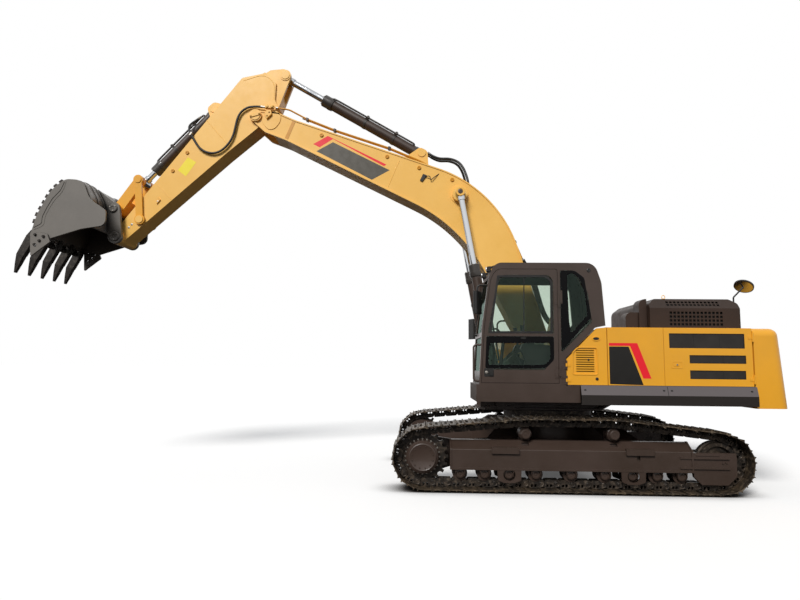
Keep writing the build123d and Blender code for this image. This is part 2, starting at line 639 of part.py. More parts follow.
def rear_side_door():
    """The door over the coolers: three grilles of upright slats."""
    door = block((HOUSE_REAR + SIDE_DOOR_GAP, DOOR_SPLIT - PANEL_GAP),
                 (UPPER_HALF - PANEL, UPPER_HALF), (DECK_TOP + PANEL_GAP, HOUSE_TOP - PANEL_GAP))
    for front, rear, low, high in DOOR_GRILLES:
        door -= block((rear, front), (UPPER_HALF - PANEL - 1, UPPER_HALF + 1), (low, high))
        slats = [block((x - 10, x + 10), (UPPER_HALF - 26, UPPER_HALF - 10), (low, high))
                 for x in range(rear + SLAT_PITCH, front - SLAT_PITCH // 2, SLAT_PITCH)]
        door = joined([door] + slats)
    x, y = SIDE_HINGE
    knuckles = [moving_knuckle(SIDE_HINGE, height, (x + 4, x + 60), (UPPER_HALF, y - 5))
                for height in SIDE_HINGE_HEIGHTS]
    return joined([door] + knuckles)


def louvre_panel():
    """The panel behind the cab, cut along the cab's sloping corner, with a louvred recess."""
    outer = UPPER_HALF
    body = plate(((22, DECK_TOP + PANEL_GAP), (22, 1818, 12), (HOUSE_FRONT + 140, HOUSE_TOP - 18, 12),
                  (HOUSE_FRONT + PANEL_GAP, HOUSE_TOP - PANEL_GAP), (HOUSE_FRONT + PANEL_GAP,
                  DECK_TOP + PANEL_GAP)), outer - PANEL, outer)
    body -= plate(((-70, 1615, 25), (-70, 1905), (-140, 1975, 25), (-400, 1975, 25),
                   (-400, 1615, 25)), outer - 10, outer + 1)
    slots = []
    for index in range(10):
        z = 1645 + index * 32
        slots.append(block((-365, -115), (outer - PANEL - 1, outer), (z, z + 14)))
    x, y = LOUVRE_HINGE
    knuckles = [moving_knuckle(LOUVRE_HINGE, height, (x - 60, x - 4), (outer, y - 4))
                for height in LOUVRE_HINGE_HEIGHTS]
    return joined([body.cut(*slots)] + knuckles)


def house_shell():
    """Front and side bulkheads and the top plates round the engine bay."""
    top, side = HOUSE_TOP, HOUSE_HALF
    front_wall = block((HOUSE_FRONT - 30, HOUSE_FRONT), (-side, side), (DECK_TOP, top - 30))
    mid_walls = [block((DOOR_SPLIT - 15, DOOR_SPLIT + 15), reach, (DECK_TOP, top - 30))
                 for reach in ((900, side), (-side, -900))]
    lid = block((HOUSE_REAR, HOUSE_FRONT), (-side, side), (top - 30, top))
    lid -= block((-2400, -1450), (-820, 820), (top - 31, top + 1))
    floors = [block((HOUSE_REAR, CATWALK_FRONT), reach, (DECK_TOP - DECK_SKIN, DECK_TOP))
              for reach in ((WELL_HALF, side), (-side, -WELL_HALF))]
    posts = [block((HOUSE_REAR, HOUSE_REAR + 60), reach, (DECK_TOP, top - 30))
             for reach in ((side - 60, side), (-side, -side + 60))]
    x, y = SIDE_HINGE
    hinges = [fixed_knuckles(SIDE_HINGE, height, (HOUSE_REAR, x - 4), (side - 20, y))
              for height in SIDE_HINGE_HEIGHTS]
    hinges += [mirrored(hinge) for hinge in hinges]
    return joined([front_wall, *mid_walls, lid, *floors, *posts, *hinges])


def engine_cover():
    """The raised cover over the engine: a shell with sloping shoulders and square holes."""
    base = HOUSE_TOP + RUNNING
    high = 2750
    half = 905
    rear = COVER_REAR
    profile = ((rear, base), (rear, high - 70, 40), (rear + 100, high, 60), (-1480, high, 60),
               (-1375, high - 90, 60), (-1370, base))
    section = ((-half, base), (-half, 2600), (-half + 130, high), (half - 130, high),
               (half, 2600), (half, base))
    outer = plate(profile, -half, half) & beam(section, -2750, -1300)
    wall = 25
    inner_profile = ((rear + wall, base - 1), (rear + wall, high - 70 - wall),
                     (rear + 100 + wall, high - wall), (-1480 - wall, high - wall),
                     (-1375 - wall, high - 90 - wall), (-1370 - wall, base - 1))
    inner_section = ((-half + wall, base - 1), (-half + wall, 2600 - wall / 2),
                     (-half + 130 + wall / 2, high - wall), (half - 130 - wall / 2, high - wall),
                     (half - wall, 2600 - wall / 2), (half - wall, base - 1))
    inner = plate(inner_profile, -half, half) & beam(inner_section, -2750, -1300)
    windows = [cover_sheet(spot, RUNNING, 40, False) for spot in COVER_GRILLES]
    windows += [mirrored(window) for window in windows]
    x, z = COVER_HINGE
    knuckles = []
    for y in COVER_HINGE_Y:
        low, high = y - KNUCKLE_HALF, y + KNUCKLE_HALF
        leaf = disc(COVER_HINGE, KNUCKLE_RADIUS, low, high)
        leaf += block((x, rear + 2), (low, high), (z - 6, z + 6))
        knuckles.append(leaf - disc(COVER_HINGE, HINGE_PIN_RADIUS + RUNNING, low - 1, high + 1))
    return joined([(outer - inner).cut(*windows)] + knuckles)


# Perforated sheets let into the cover: middle of the outer face, its normal, columns and rows
COVER_GRILLES = (((-2052, 905, 2443), (0, 1, 0), 14, 4),
                 ((-2030, 842, 2673), (0, 0.756, 0.655), 14, 2))
COVER_HOLE = 38
COVER_HOLE_PITCH = 57


def cover_sheet(spot, gap, thick, holed):
    """A sheet sunk in the cover's face, or the window that it goes in."""
    middle, normal, columns, rows = spot
    plane = Plane(middle, x_dir=(1, 0, 0), z_dir=normal)
    face = Rectangle(columns * COVER_HOLE_PITCH + 2 * gap, rows * COVER_HOLE_PITCH + 2 * gap)
    if holed:
        face -= [location * Rectangle(COVER_HOLE, COVER_HOLE) for location in GridLocations(
            COVER_HOLE_PITCH, COVER_HOLE_PITCH, columns, rows)]
        return extrude(plane * face, -thick)
    return extrude(plane * face, thick, both=True)


def cover_grilles():
    return [shape for spot in COVER_GRILLES for shape in pair(cover_sheet(spot, 0, 8, True))]


def cover_hinges():
    """The fixed halves of the cover's hinges, on top of the counterweight."""
    x, z = COVER_HINGE
    hinges = []
    for y in COVER_HINGE_Y:
        outer = KNUCKLE_HALF + 30
        parts = [disc(COVER_HINGE, HINGE_PIN_RADIUS, y - outer, y + outer)]
        for low in (y - outer, y + KNUCKLE_HALF + 1):
            high = low + outer - KNUCKLE_HALF - 1
            parts.append(disc(COVER_HINGE, KNUCKLE_RADIUS, low, high))
            parts.append(block((x - 10, x + 10), (low, high), (HOUSE_TOP, z)))
        hinges.append(joined(parts))
    return hinges


# Covers ahead of the engine cover: rear and front edge, height, rounding, and sides
HUMPS = ((-1366, -1250, 2745, 100, 560, 800), (-1249, -1060, 2545, 90, 520, 760))


def front_humps():
    """Two lower rounded covers ahead of the engine cover, on the cab's side."""
    return [plate(((rear, HOUSE_TOP), (rear, high), (front, high, bend), (front, HOUSE_TOP)),
                  low, far) for rear, front, high, bend, low, far in HUMPS]


def engine():
    return block((-2260, -1440), (-620, 620), (ENGINE_BOTTOM, 2190))


# Right-hand side -----------------------------------------------------------------------------

def fuel_tank():
    body = block((CATWALK_FRONT, 640), (-UPPER_HALF, -WELL_HALF - 60), (DECK_TOP, 2200))
    body = fillet(body.edges().filter_by(Axis.Z), 40)
    neck = Pos(400, -1000, 2215) * Cylinder(60, 50)
    return body + neck


def tool_box():
    """Two steps' worth of box ahead of the fuel tank."""
    front = RIGHT_FRONT
    return plate(((640, DECK_TOP), (front, DECK_TOP), (front, 1720, 40), (front - 220, 1760, 60),
                  (front - 270, 1990, 60), (640, 2010, 30)), -UPPER_HALF, -WELL_HALF - 160)


def hydraulic_tank():
    body = block((HOUSE_FRONT, CATWALK_FRONT - 2), (-UPPER_HALF, -WELL_HALF - 60),
                 (DECK_TOP, HOUSE_TOP - PANEL_GAP))
    return fillet(body.edges().filter_by(Axis.Z), 30)


# Hinges --------------------------------------------------------------------------------------

KNUCKLE_RADIUS = 12
HINGE_PIN_RADIUS = 6
KNUCKLE_HALF = 22           # half the height of the door's own knuckle
CAB_HINGE = (118, UPPER_HALF + KNUCKLE_RADIUS + 3)
CAB_HINGE_HEIGHTS = (1640, 2610)
LOUVRE_HINGE = (25, UPPER_HALF + KNUCKLE_RADIUS)
LOUVRE_HINGE_HEIGHTS = (1530, 1740)
SIDE_HINGE = (HOUSE_REAR + KNUCKLE_RADIUS, UPPER_HALF + KNUCKLE_RADIUS)
SIDE_HINGE_HEIGHTS = (1560, 2140)
COVER_HINGE = (COVER_REAR - KNUCKLE_RADIUS - 4, HOUSE_TOP + KNUCKLE_RADIUS + 6)
COVER_HINGE_Y = (-500, 500)


def upright(axis, radius, low, high):
    return Pos(axis[0], axis[1], (low + high) / 2) * Cylinder(radius, high - low)


def fixed_knuckles(axis, height, leaf_x, leaf_y):
    """A hinge's pin and its two outer knuckles, on a leaf that meets the body."""
    outer = KNUCKLE_HALF + 40
    parts = [upright(axis, HINGE_PIN_RADIUS, height - outer, height + outer)]
    for low in (height - outer, height + KNUCKLE_HALF + 1):
        high = low + outer - KNUCKLE_HALF - 1
        parts.append(upright(axis, KNUCKLE_RADIUS, low, high))
        parts.append(block(leaf_x, leaf_y, (low, high)))
    return joined(parts)


def moving_knuckle(axis, height, leaf_x, leaf_y):
    """The middle knuckle of a hinge, on a leaf that meets the door."""
    low, high = height - KNUCKLE_HALF, height + KNUCKLE_HALF
    barrel = upright(axis, KNUCKLE_RADIUS, low, high) + block(leaf_x, leaf_y, (low, high))
    return barrel - upright(axis, HINGE_PIN_RADIUS + RUNNING, low - 1, high + 1)


# Rails and mirrors ---------------------------------------------------------------------------

RAIL_RADIUS = 17


def bent_tube(points, radius, bend):
    """A round bar along straight runs joined by arcs."""
    path = FilletPolyline(*points, radius=bend)
    start = Vector(*points[0])
    section = Plane(start, z_dir=Vector(*points[1]) - start) * Circle(radius)
    return sweep(section, path=path)


def handrails():
    """The rails over the tank and the steps on the right, and the grab rail of the cab."""
    y = -UPPER_HALF + 60
    side = bent_tube(((600, y, 2200), (600, y, 2560), (-90, y, 2560), (-90, y, 2200)),
                     RAIL_RADIUS, 90)
    front = bent_tube(((RIGHT_FRONT - 50, y, 1700), (RIGHT_FRONT - 50, y, 2330), (560, y, 2430),
                       (540, y, 2200)), RAIL_RADIUS, 90)
    y = UPPER_HALF - 40
    grab = bent_tube(((1150, y, 2010), (1308, y, 2010), (1308, y, 1505), (1150, y, 1505)), 14, 45)
    return [(side + front).cut(fuel_tank(), tool_box()),
            grab - plate(CAB_OUTLINE, CAB_INNER, UPPER_HALF)]


def mirror_head(place, turn, size):
    """A mirror's housing with rounded upright edges, turned about the vertical."""
    return Pos(*place) * Rot(0, 0, turn) * fillet(
        Box(*size).edges().filter_by(Axis.Z), size[0] * 0.35)


def side_mirrors():
    """The mirror at the cab's front corner and the one on the right-hand rail."""
    y = UPPER_HALF - 50
    head = mirror_head((1250, UPPER_HALF - 28, 2606), -30, (60, 190, 320))
    arm = bent_tube(((1000, y, 2860), (1250, y, 2860), (1250, y, 2740)), 12, 45)
    left = joined([head, arm]) - plate(CAB_OUTLINE, CAB_INNER, UPPER_HALF)
    y = -UPPER_HALF + 60
    rail = RIGHT_FRONT - 50
    head = mirror_head((rail + 75, y, 2400), 25, (60, 200, 380))
    stay = block((rail + RAIL_RADIUS, rail + 60), (y - 12, y + 12), (2270, 2300))
    return [left, joined([head, stay])]


def rear_mirror():
    """The round mirror on its bent stalk, on a foot on the engine cover's rear wall."""
    y, wall = 600, COVER_REAR - RUNNING
    mast = bent_tube(((wall, y, 2600), (wall - 70, y, 2600), (wall - 70, y, 2800),
                      (wall - 240, y, 2970)), 12, 40)
    foot = Pos(wall - 4, y, 2600) * Rot(0, 90, 0) * Cylinder(30, 8)
    head = extrude(Plane((wall - 235, y, 2965), z_dir=(0.45, 0.42, -0.83)) * Circle(140), -24)
    return mast + foot + head


# Cab -----------------------------------------------------------------------------------------

# Side outline of the cab, from the front foot up and back: x, z, fillet radius
CAB_OUTLINE = ((1235, DECK_TOP), (1190, 2260, 900), (1090, 2985, 300), (1000, CAB_ROOF, 150),
               (-400, CAB_ROOF, 170), (-490, 2900, 300), (-530, 2290), (-400, 2275, 20),
               (30, 1832, 20), (30, DECK_TOP))
DOOR_OUTLINE = ((DOOR_REAR, DECK_TOP + 25), (1200, DECK_TOP + 25), (1155, 2260, 900),
                (1060, 2960, 300), (975, 3085, 120), (DOOR_REAR, 3085, 30))
DOOR_UPPER_WINDOW = ((1112, 2172, 25), (960, 3003, 150), (190, 3003, 110), (190, 2172, 25))
DOOR_LOWER_WINDOW = ((1148, 1665, 40), (1130, 2135, 20), (190, 2135, 20), (190, 1830, 20),
                     (330, 1665, 20))
FRONT_PANES = ((1640, 2120), (2190, 2960))      # low and high edge
REAR_PANE = (2360, 2960)
REAR_QUARTER = ((90, 1905, 10), (90, 3070, 20), (-110, 3070, 60), (-290, 2780, 300),
                (-345, 2340, 30))
RIGHT_WINDOW = ((1090, 1720, 60), (960, 3003, 150), (-280, 3003, 150), (-330, 2350, 60),
                (60, 1905, 60), (500, 1720, 60))


def shrunk(corners, distance):
    return offset(outline(corners), -distance, kind=Kind.INTERSECTION)


def face_plate(face, low, high):
    return Pos(0, high, 0) * extrude(Plane.XZ * face, high - low)


def windowed(body, corners, face_y, side):
    """Cuts a window and the step its pane sits in; the pane comes back with the body."""
    out = face_y
    seat = face_y - side * GLASS
    far = face_y - side * (CAB_WALL + 5)
    step = face_plate(outline(corners), *sorted((seat, out + side * 5)))
    hole = face_plate(shrunk(corners, GLASS_LAP), *sorted((far, out)))
    pane = face_plate(shrunk(corners, RUNNING), *sorted((seat, out)))
    return body - step - hole, pane


def cab():
    """The hollow cab, its door opening and windows cut, and its fixed panes."""
    outer, inner = UPPER_HALF, CAB_INNER
    middle = (outer + inner) / 2
    body = plate(CAB_OUTLINE, inner, outer)
    hollow = face_plate(shrunk(CAB_OUTLINE, CAB_WALL), inner + CAB_WALL, outer - CAB_WALL)
    body -= hollow
    grown = offset(outline(DOOR_OUTLINE), DOOR_GAP, kind=Kind.INTERSECTION)
    body -= face_plate(grown, outer - CAB_WALL - 5, outer + 5)
    panes = []
    body, pane = windowed(body, REAR_QUARTER, outer, 1)
    panes.append(pane)
    body, pane = windowed(body, RIGHT_WINDOW, inner, -1)
    panes.append(pane)
    half = (outer - inner) / 2 - 75
    for heights in FRONT_PANES:
        body -= block((1020, 1300), (middle - half, middle + half), heights)
    body -= block((-600, -420), (middle - half, middle + half), REAR_PANE)
    x, y = CAB_HINGE
    hinges = [fixed_knuckles(CAB_HINGE, height, (x - 24, x - 2), (outer, y))
              for height in CAB_HINGE_HEIGHTS]
    x, y = LOUVRE_HINGE
    hinges += [fixed_knuckles(LOUVRE_HINGE, height, (x + 6, x + 40), (outer, y - 4))
               for height in LOUVRE_HINGE_HEIGHTS]
    body = joined([body] + hinges)
    panes += [front_pane(*heights, middle, half) for heights in FRONT_PANES]
    panes.append(rear_pane(*REAR_PANE, middle, half))
    return body, panes


def front_x(z):
    """Where the cab's front face stands at a height, between its outline's corners."""
    for (x, low, *_), (next_x, high, *_) in zip(CAB_OUTLINE, CAB_OUTLINE[1:]):
        if low <= z <= high:
            return x + (next_x - x) * (z - low) / (high - low)
    return CAB_OUTLINE[0][0]


def front_pane(low, high, middle, half):
    bottom, top = front_x(low), front_x(high)
    return plate(((bottom - 20, low), (bottom - 14, low), (top - 14, high), (top - 20, high)),
                 middle - half, middle + half)


def rear_pane(low, high, middle, half):
    return plate(((-505, low), (-499, low), (-472, high), (-478, high)), middle - half,
                 middle + half)


def cab_door():
    outer = UPPER_HALF
    door = plate(DOOR_OUTLINE, outer - CAB_WALL, outer)
    panes = []
    for corners in (DOOR_UPPER_WINDOW, DOOR_LOWER_WINDOW):
        door, pane = windowed(door, corners, outer, 1)
        panes.append(pane)
    x, y = CAB_HINGE
    knuckles = [moving_knuckle(CAB_HINGE, height, (x + 4, x + 60), (outer, y - 5))
                for height in CAB_HINGE_HEIGHTS]
    return joined([door] + knuckles), panes


def seat_base():
    middle = (UPPER_HALF + CAB_INNER) / 2
    floor = DECK_TOP + CAB_WALL
    foot = block((130, 560), (middle - 190, middle + 190), (floor, floor + 60))
    column = block((200, 500), (middle - 150, middle + 150), (floor + 60, 1800))
    return foot + column


def seat_cushions():
    middle = (UPPER_HALF + CAB_INNER) / 2
    cushion = block((100, 600), (middle - 240, middle + 240), (1800 + RUNNING, 1930))
    cushion = fillet(cushion.edges().filter_by(Axis.Z), 60)
    back = plate(((95, 1930 + RUNNING), (215, 1930 + RUNNING), (80, 2500, 40), (-20, 2500, 40)),
                 middle - 230,
                 middle + 230)
    head = plate(((8, 2500 + RUNNING), (68, 2500 + RUNNING), (42, 2680, 25), (-18, 2680, 25)),
                 middle - 130, middle + 130)
    return [cushion, back, head]


def consoles():
    """Side consoles with a control stick each, and the foot levers."""
    middle = (UPPER_HALF + CAB_INNER) / 2
    floor = DECK_TOP + CAB_WALL
    pieces = []
    for side in (-1, 1):
        y = middle + side * 315
        stand = plate(((120, floor), (420, floor), (640, 1960, 40), (600, 2040, 30),
                       (60, 2000, 40)), y - 55, y + 55)
        stick = rod_between((560, y, 2000), (590, y, 2190), 14)
        grip = rod_between((590, y, 2180), (605, y, 2300), 28)
        pieces.append(joined([stand, stick, grip]))
    for side in (-1, 1):
        y = middle + side * 80
        pedal = plate(((830, floor), (1000, floor), (960, floor + 60)), y - 55, y + 55)
        lever = rod_between((900, y, floor + 20), (820, y, floor + 620), 14)
        pieces.append(joined([pedal, lever]))
    return pieces


# Boom ----------------------------------------------------------------------------------------

def boom_corners():
    """Side outline in the boom's frame: along, above, fillet radius."""
    tip, bend = BOOM_LENGTH, BOOM_BEND
    return ((0, -150), (486, -40, 900), (bend + 20, 722, 2590), (tip - 682, 2, 900),
            (tip - 320, -115, 90), (tip, -100), (tip + 70, 71), (tip - 270, 285, 60),
            (tip - 577, 368, 900), (bend - 25, 1604, 2070), (353, 448, 900), (-30, 200, 60),
            (-120, 90))


def boom():
    face = outline(boom_corners())
    core = face_plate(face, -BOOM_HALF + BOOM_FLANGE, BOOM_HALF - BOOM_FLANGE)
    rim = face_plate(face, -BOOM_HALF, BOOM_HALF)
    rim -= face_plate(shrunk(boom_corners(), 22), -BOOM_HALF - 1, BOOM_HALF + 1)
    tip = (BOOM_LENGTH, 0)
    bosses = [disc((0, 0), 150, -BOOM_HALF - 30, BOOM_HALF + 30),
              disc(tip, 105, -BOOM_HALF - 25, BOOM_HALF + 25),
              disc(BOOM_CYLINDER_EYE, 120, -BOOM_CYLINDER_Y + 55 + 2 * SIDE_GAP,
                   BOOM_CYLINDER_Y - 55 - 2 * SIDE_GAP)]
    body = joined([core, rim] + bosses)
    fork = plate(((tip[0] - 545, 700), (tip[0] - 480, 120, 40), (tip[0] - 465, -300),
                  (tip[0] + 300, -300), (tip[0] + 300, 700)), -ARM_HALF - SIDE_GAP,
                 ARM_HALF + SIDE_GAP)
    body -= fork
    base = ARM_CYLINDER_BASE
    ear = plate(((base[0] - 300, base[1] - 180), (base[0] - 60, base[1] + 85, 85),
                 (base[0] + 85, base[1] + 60, 85), (base[0] + 190, base[1] - 330)),
                CYLINDER_EYE_HALF + SIDE_GAP, CYLINDER_EYE_HALF + SIDE_GAP + 40)
    body = joined([body] + pair(ear))
    for centre, radius, reach in (((0, 0), FOOT_PIN_RADIUS, 400), (tip, TIP_PIN_RADIUS, 400),
                                  (base, CYLINDER_PIN_RADIUS, 200)):
        body -= disc(centre, radius + RUNNING, -reach, reach)
    return placed(BOOM, body)


def boom_pins():
    tip = (BOOM_LENGTH, 0)
    reach = BOOM_HALF + 25
    first = joined([disc(tip, TIP_PIN_RADIUS, -reach, reach), disc(tip, 85, reach, reach + PIN_CAP),
                    disc(tip, 85, -reach - PIN_CAP, -reach)])
    reach = CYLINDER_EYE_HALF + SIDE_GAP + 40
    base = ARM_CYLINDER_BASE
    second = joined([disc(base, CYLINDER_PIN_RADIUS, -reach, reach),
                     disc(base, 70, reach, reach + PIN_CAP), disc(base, 70, -reach - PIN_CAP, -reach)])
    return [placed(BOOM, first), placed(BOOM, second)]


# Arm -----------------------------------------------------------------------------------------

def arm_corners():
    """Side outline in the arm's frame: along, above, fillet radius."""
    tip = ARM_LENGTH
    return ((-930, 160, 90), (-394, -120, 70), (86, -166, 300), (809, -136, 300), (tip, -110),
            (tip + 40, 100, 60), (tip - 285, 170, 60), (1556, 384, 3000), (101, 632, 300),
            (-279, 697, 90), (-590, 508, 60), (-733, 485, 60), (-940, 325, 90))


# The rounded end of the arm's box; beyond it only two ears go on to the cylinder's eye
ARM_TAIL = ((-394, -600), (-394, -110), (-428, 7, 200), (-655, 235, 90), (-640, 530, 150),
            (-250, 735), (-250, 1100), (-1400, 1100), (-1400, -600))


def arm():
    tip = (ARM_LENGTH, 0)
    body = plate(arm_corners(), -ARM_HALF, ARM_HALF)
    eye = ARM_CYLINDER_EYE
    for side in (-1, 1):
        body -= face_plate(outline(ARM_TAIL), *sorted((side * ARM_EAR_HALF, side * ARM_HALF * 1.1)))
    body = joined([body, disc(tip, 115, -ARM_HALF - 55, ARM_HALF + 55),
                   disc(eye, 95, -ARM_EAR_HALF - 12, ARM_EAR_HALF + 12)])
    body -= plate(((-1200, 900), (-700, 900), (-700, 170, 60), (-430, -200), (-1200, -400)),
                  -ROD_EYE_HALF - 20, ROD_EYE_HALF + 20)
    base = BUCKET_CYLINDER_BASE
    ear = plate(((base[0] - 210, 540), (base[0] - 80, base[1] + 80, 80),
                 (base[0] + 80, base[1] + 80, 80), (base[0] + 170, 500)),
                CYLINDER_EYE_HALF + SIDE_GAP, CYLINDER_EYE_HALF + SIDE_GAP + 40)
    body = joined([body] + pair(ear))
    for centre, radius, reach in (((0, 0), TIP_PIN_RADIUS, 300), (tip, TIP_PIN_RADIUS, 300),
                                  (base, CYLINDER_PIN_RADIUS, 150),
                                  (ROCKER_PIVOT, LINK_PIN_RADIUS, 300)):
        body -= disc(centre, radius + RUNNING, -reach, reach)
    return placed(ARM, body)


def arm_pins():
    """Base pin of the bucket cylinder and the pivot pin of the rockers."""
    base = BUCKET_CYLINDER_BASE
    reach = CYLINDER_EYE_HALF + SIDE_GAP + 40
    first = joined([disc(base, CYLINDER_PIN_RADIUS, -reach, reach),
                    disc(base, 70, reach, reach + PIN_CAP), disc(base, 70, -reach - PIN_CAP, -reach)])
    reach = ARM_HALF + SIDE_GAP + 40 + 1
    second = joined([disc(ROCKER_PIVOT, LINK_PIN_RADIUS, -reach, reach),
                     disc(ROCKER_PIVOT, 62, reach, reach + PIN_CAP),
                     disc(ROCKER_PIVOT, 62, -reach - PIN_CAP, -reach)])
    return [placed(ARM, first), placed(ARM, second)]


# Cylinders -----------------------------------------------------------------------------------

def cylinder(base, eye, middle_y, sizes):
    """Barrel and rod between two pins: sizes is a dict of the cylinder's radii and lengths."""
    length = math.dist(base, eye)
    frame = (*base, math.degrees(math.atan2(eye[1] - base[1], eye[0] - base[0])))
    barrel_end = sizes["barrel"]
    radius, bore, rod = sizes["radius"], sizes["bore"], sizes["rod"]
    half = sizes["base_half"]
    tube = Rot(0, 90, 0) * extrude(Circle(radius) - Circle(bore), barrel_end - 150)
    tube = Pos(110, middle_y, 0) * tube
    cap = Pos(95, middle_y, 0) * Rot(0, 90, 0) * extrude(Circle(radius), 55)
    gland = Pos(barrel_end - 110, middle_y, 0) * Rot(0, 90, 0) * extrude(
        Circle(radius + 14) - Circle(rod + RUNNING), 110)
    eye_low, eye_high = middle_y - half, middle_y + half
    base_eye = ring((0, 0), sizes["eye"], CYLINDER_PIN_RADIUS + RUNNING, eye_low, eye_high)
    neck = block((sizes["eye"] - 22, 100), (middle_y - half * 0.8, middle_y + half * 0.8),
                 (-radius * 0.75, radius * 0.75))
    barrel = joined([tube, cap, gland, base_eye, neck])
    bar = Pos(barrel_end - sizes["inside"], middle_y, 0) * Rot(0, 90, 0) * extrude(
        Circle(rod), length - barrel_end + sizes["inside"] - sizes["eye"] + 15)
    rod_half = sizes["rod_half"]
    rod_eye = disc((length, 0), sizes["eye"], middle_y - rod_half, middle_y + rod_half)
    collar = Pos(length - sizes["eye"] - 50, middle_y, 0) * Rot(0, 90, 0) * extrude(
        Circle(rod + 14), 60)
    return placed(frame, barrel), placed(frame, joined([bar, rod_eye, collar]))


# Barrel length to the gland's face; barrel, bore and rod radii; eye radius and half widths; and
# how much rod stays inside the barrel
BOOM_CYLINDER = {"barrel": 1750, "radius": 80, "bore": 68, "rod": 50, "eye": 78,
                 "base_half": 55, "rod_half": 55, "inside": 500}
ARM_CYLINDER = {"barrel": 1965, "radius": 90, "bore": 78, "rod": 55, "eye": 90,
                "base_half": CYLINDER_EYE_HALF, "rod_half": ROD_EYE_HALF, "inside": 900}
BUCKET_CYLINDER = {"barrel": ARM_LENGTH - 1620, "radius": 82, "bore": 70, "rod": 50, "eye": 76,
                   "base_half": CYLINDER_EYE_HALF, "rod_half": ROD_EYE_HALF,
                   "inside": ARM_LENGTH - 1950}


# Bucket linkage ------------------------------------------------------------------------------

def rocker():
    inner = ARM_HALF + SIDE_GAP
    link = strap(ROCKER_BASE, ROCKER_WAIST, ROCKER_TOP, ROCKER_WAIST, inner, inner + 40)
    link += disc(ROCKER_BASE, 85, inner, inner + 40) + disc(ROCKER_TOP, 80, inner, inner + 40)
    link -= disc(ROCKER_BASE, LINK_PIN_RADIUS + RUNNING, inner - 1, inner + 41)
    return link + disc(ROCKER_TOP, 58, inner + 40, inner + 54)


def bucket_link():
    """The H-shaped link: one wide eye on the bucket, two arms beside the rod's eye."""
    body = strap(LINK_BASE, 88, ROCKER_TOP, 80, -ARM_HALF, ARM_HALF)
    length = math.dist(LINK_BASE, ROCKER_TOP)
    angle = math.degrees(math.atan2(ROCKER_TOP[1] - LINK_BASE[1], ROCKER_TOP[0] - LINK_BASE[0]))
    half = ROD_EYE_HALF + 25
    notch = plate(((230, -200), (230, 200), (length + 200, 200), (length + 200, -200)), -half, half)
    body -= placed((*LINK_BASE, angle), notch)
    body += disc(LINK_BASE, 88, -ARM_HALF - 55, ARM_HALF + 55)
    return body - disc(LINK_BASE, LINK_PIN_RADIUS + RUNNING, -300, 300)


# Bucket --------------------------------------------------------------------------------------

# Side plate in the bucket's frame, from the lip round the back to the hinge and the mouth
BUCKET_SIDE = ((1150, -75), (1060, 270, 700), (860, 670, 600), (640, 850, 200), (350, 830, 200),
               (220, 520, 300), (-60, 330, 90), (-60, 90, 110), (330, 30, 300), (820, -125, 30))
# Outer and inner line of the wrapper, closed across the mouth
WRAPPER = ((1150, -75), (1060, 270, 700), (860, 670, 600), (640, 850, 200), (350, 830, 200),
           (190, 560, 300), (130, 60))


def bucket():
    side = plate(BUCKET_SIDE, BUCKET_HALF - BUCKET_PLATE, BUCKET_HALF)
    solid = plate(WRAPPER, -BUCKET_HALF + BUCKET_PLATE, BUCKET_HALF - BUCKET_PLATE)
    hollow = face_plate(shrunk(WRAPPER, BUCKET_PLATE), -BUCKET_HALF, BUCKET_HALF)
    mouth = plate(((168, 120), (1108, -25), (1108, -300), (168, -300)), -BUCKET_HALF, BUCKET_HALF)
    wrapper = solid - hollow - mouth
    ears = []
    inner = ARM_HALF + 65
    for low in (inner, -inner - 60):
        ear = strap((0, 0), 115, LINK_PIN, 105, low, low + 60)
        ear += plate(((0, -60), (300, 60), (330, 800), (LINK_PIN[0] - 20, LINK_PIN[1] + 90, 60)),
                     low, low + 60) & plate(WRAPPER_EAR, low, low + 60)
        ears.append(ear)
    grown = offset(outline(WRAPPER), BUCKET_RIB)
    back = block((-100, 560), (-BUCKET_HALF, BUCKET_HALF), (420, 1000))
    ribs = [(face_plate(grown, y - 9, y + 9) - solid) & back for y in BUCKET_RIB_Y]
    body = joined([wrapper] + pair(side) + ears + ribs)
    for centre, radius in (((0, 0), TIP_PIN_RADIUS), (LINK_PIN, LINK_PIN_RADIUS)):
        body -= disc(centre, radius + RUNNING, -400, 400)
    return placed(BUCKET, body)


BUCKET_RIB = 16             # height of the ribs on the back
BUCKET_RIB_Y = (-560, -400, 400, 560)
WRAPPER_EAR = ((-100, -100), (160, 62), (200, 560), (350, 820), (-100, 820))


def bucket_teeth(shell):
    """Pointed teeth on adapters that straddle the lip, in a row along it."""
    teeth = []
    pitch = (2 * BUCKET_HALF - 150) / (TOOTH_COUNT - 1)
    for index in range(TOOTH_COUNT):
        y = (index - (TOOTH_COUNT - 1) / 2) * pitch
        adapter = plate(((1090, -30), (1150, 20), (1225, -70, 10), (1368, -376), (1250, -402),
                         (1120, -160)), y - 50, y + 50)
        teeth.append(placed(BUCKET, adapter + tooth_point(y)) - shell)
    return teeth


def tooth_point(y):
    heading = (0.275, 0, -0.96)
    root = Plane((1311, y, -385), x_dir=(0, 1, 0), z_dir=heading) * Rectangle(96, 116)
    waist = Plane((1352, y, -530), x_dir=(0, 1, 0), z_dir=heading) * Rectangle(78, 72)
    tip = Plane((1390, y, -672), x_dir=(0, 1, 0), z_dir=heading) * Rectangle(52, 20)
    return loft([root, waist, tip], ruled=True)


CUTTER_HOLES = ((1043, -75), (907, -103), (969, -172), (1043, -234))


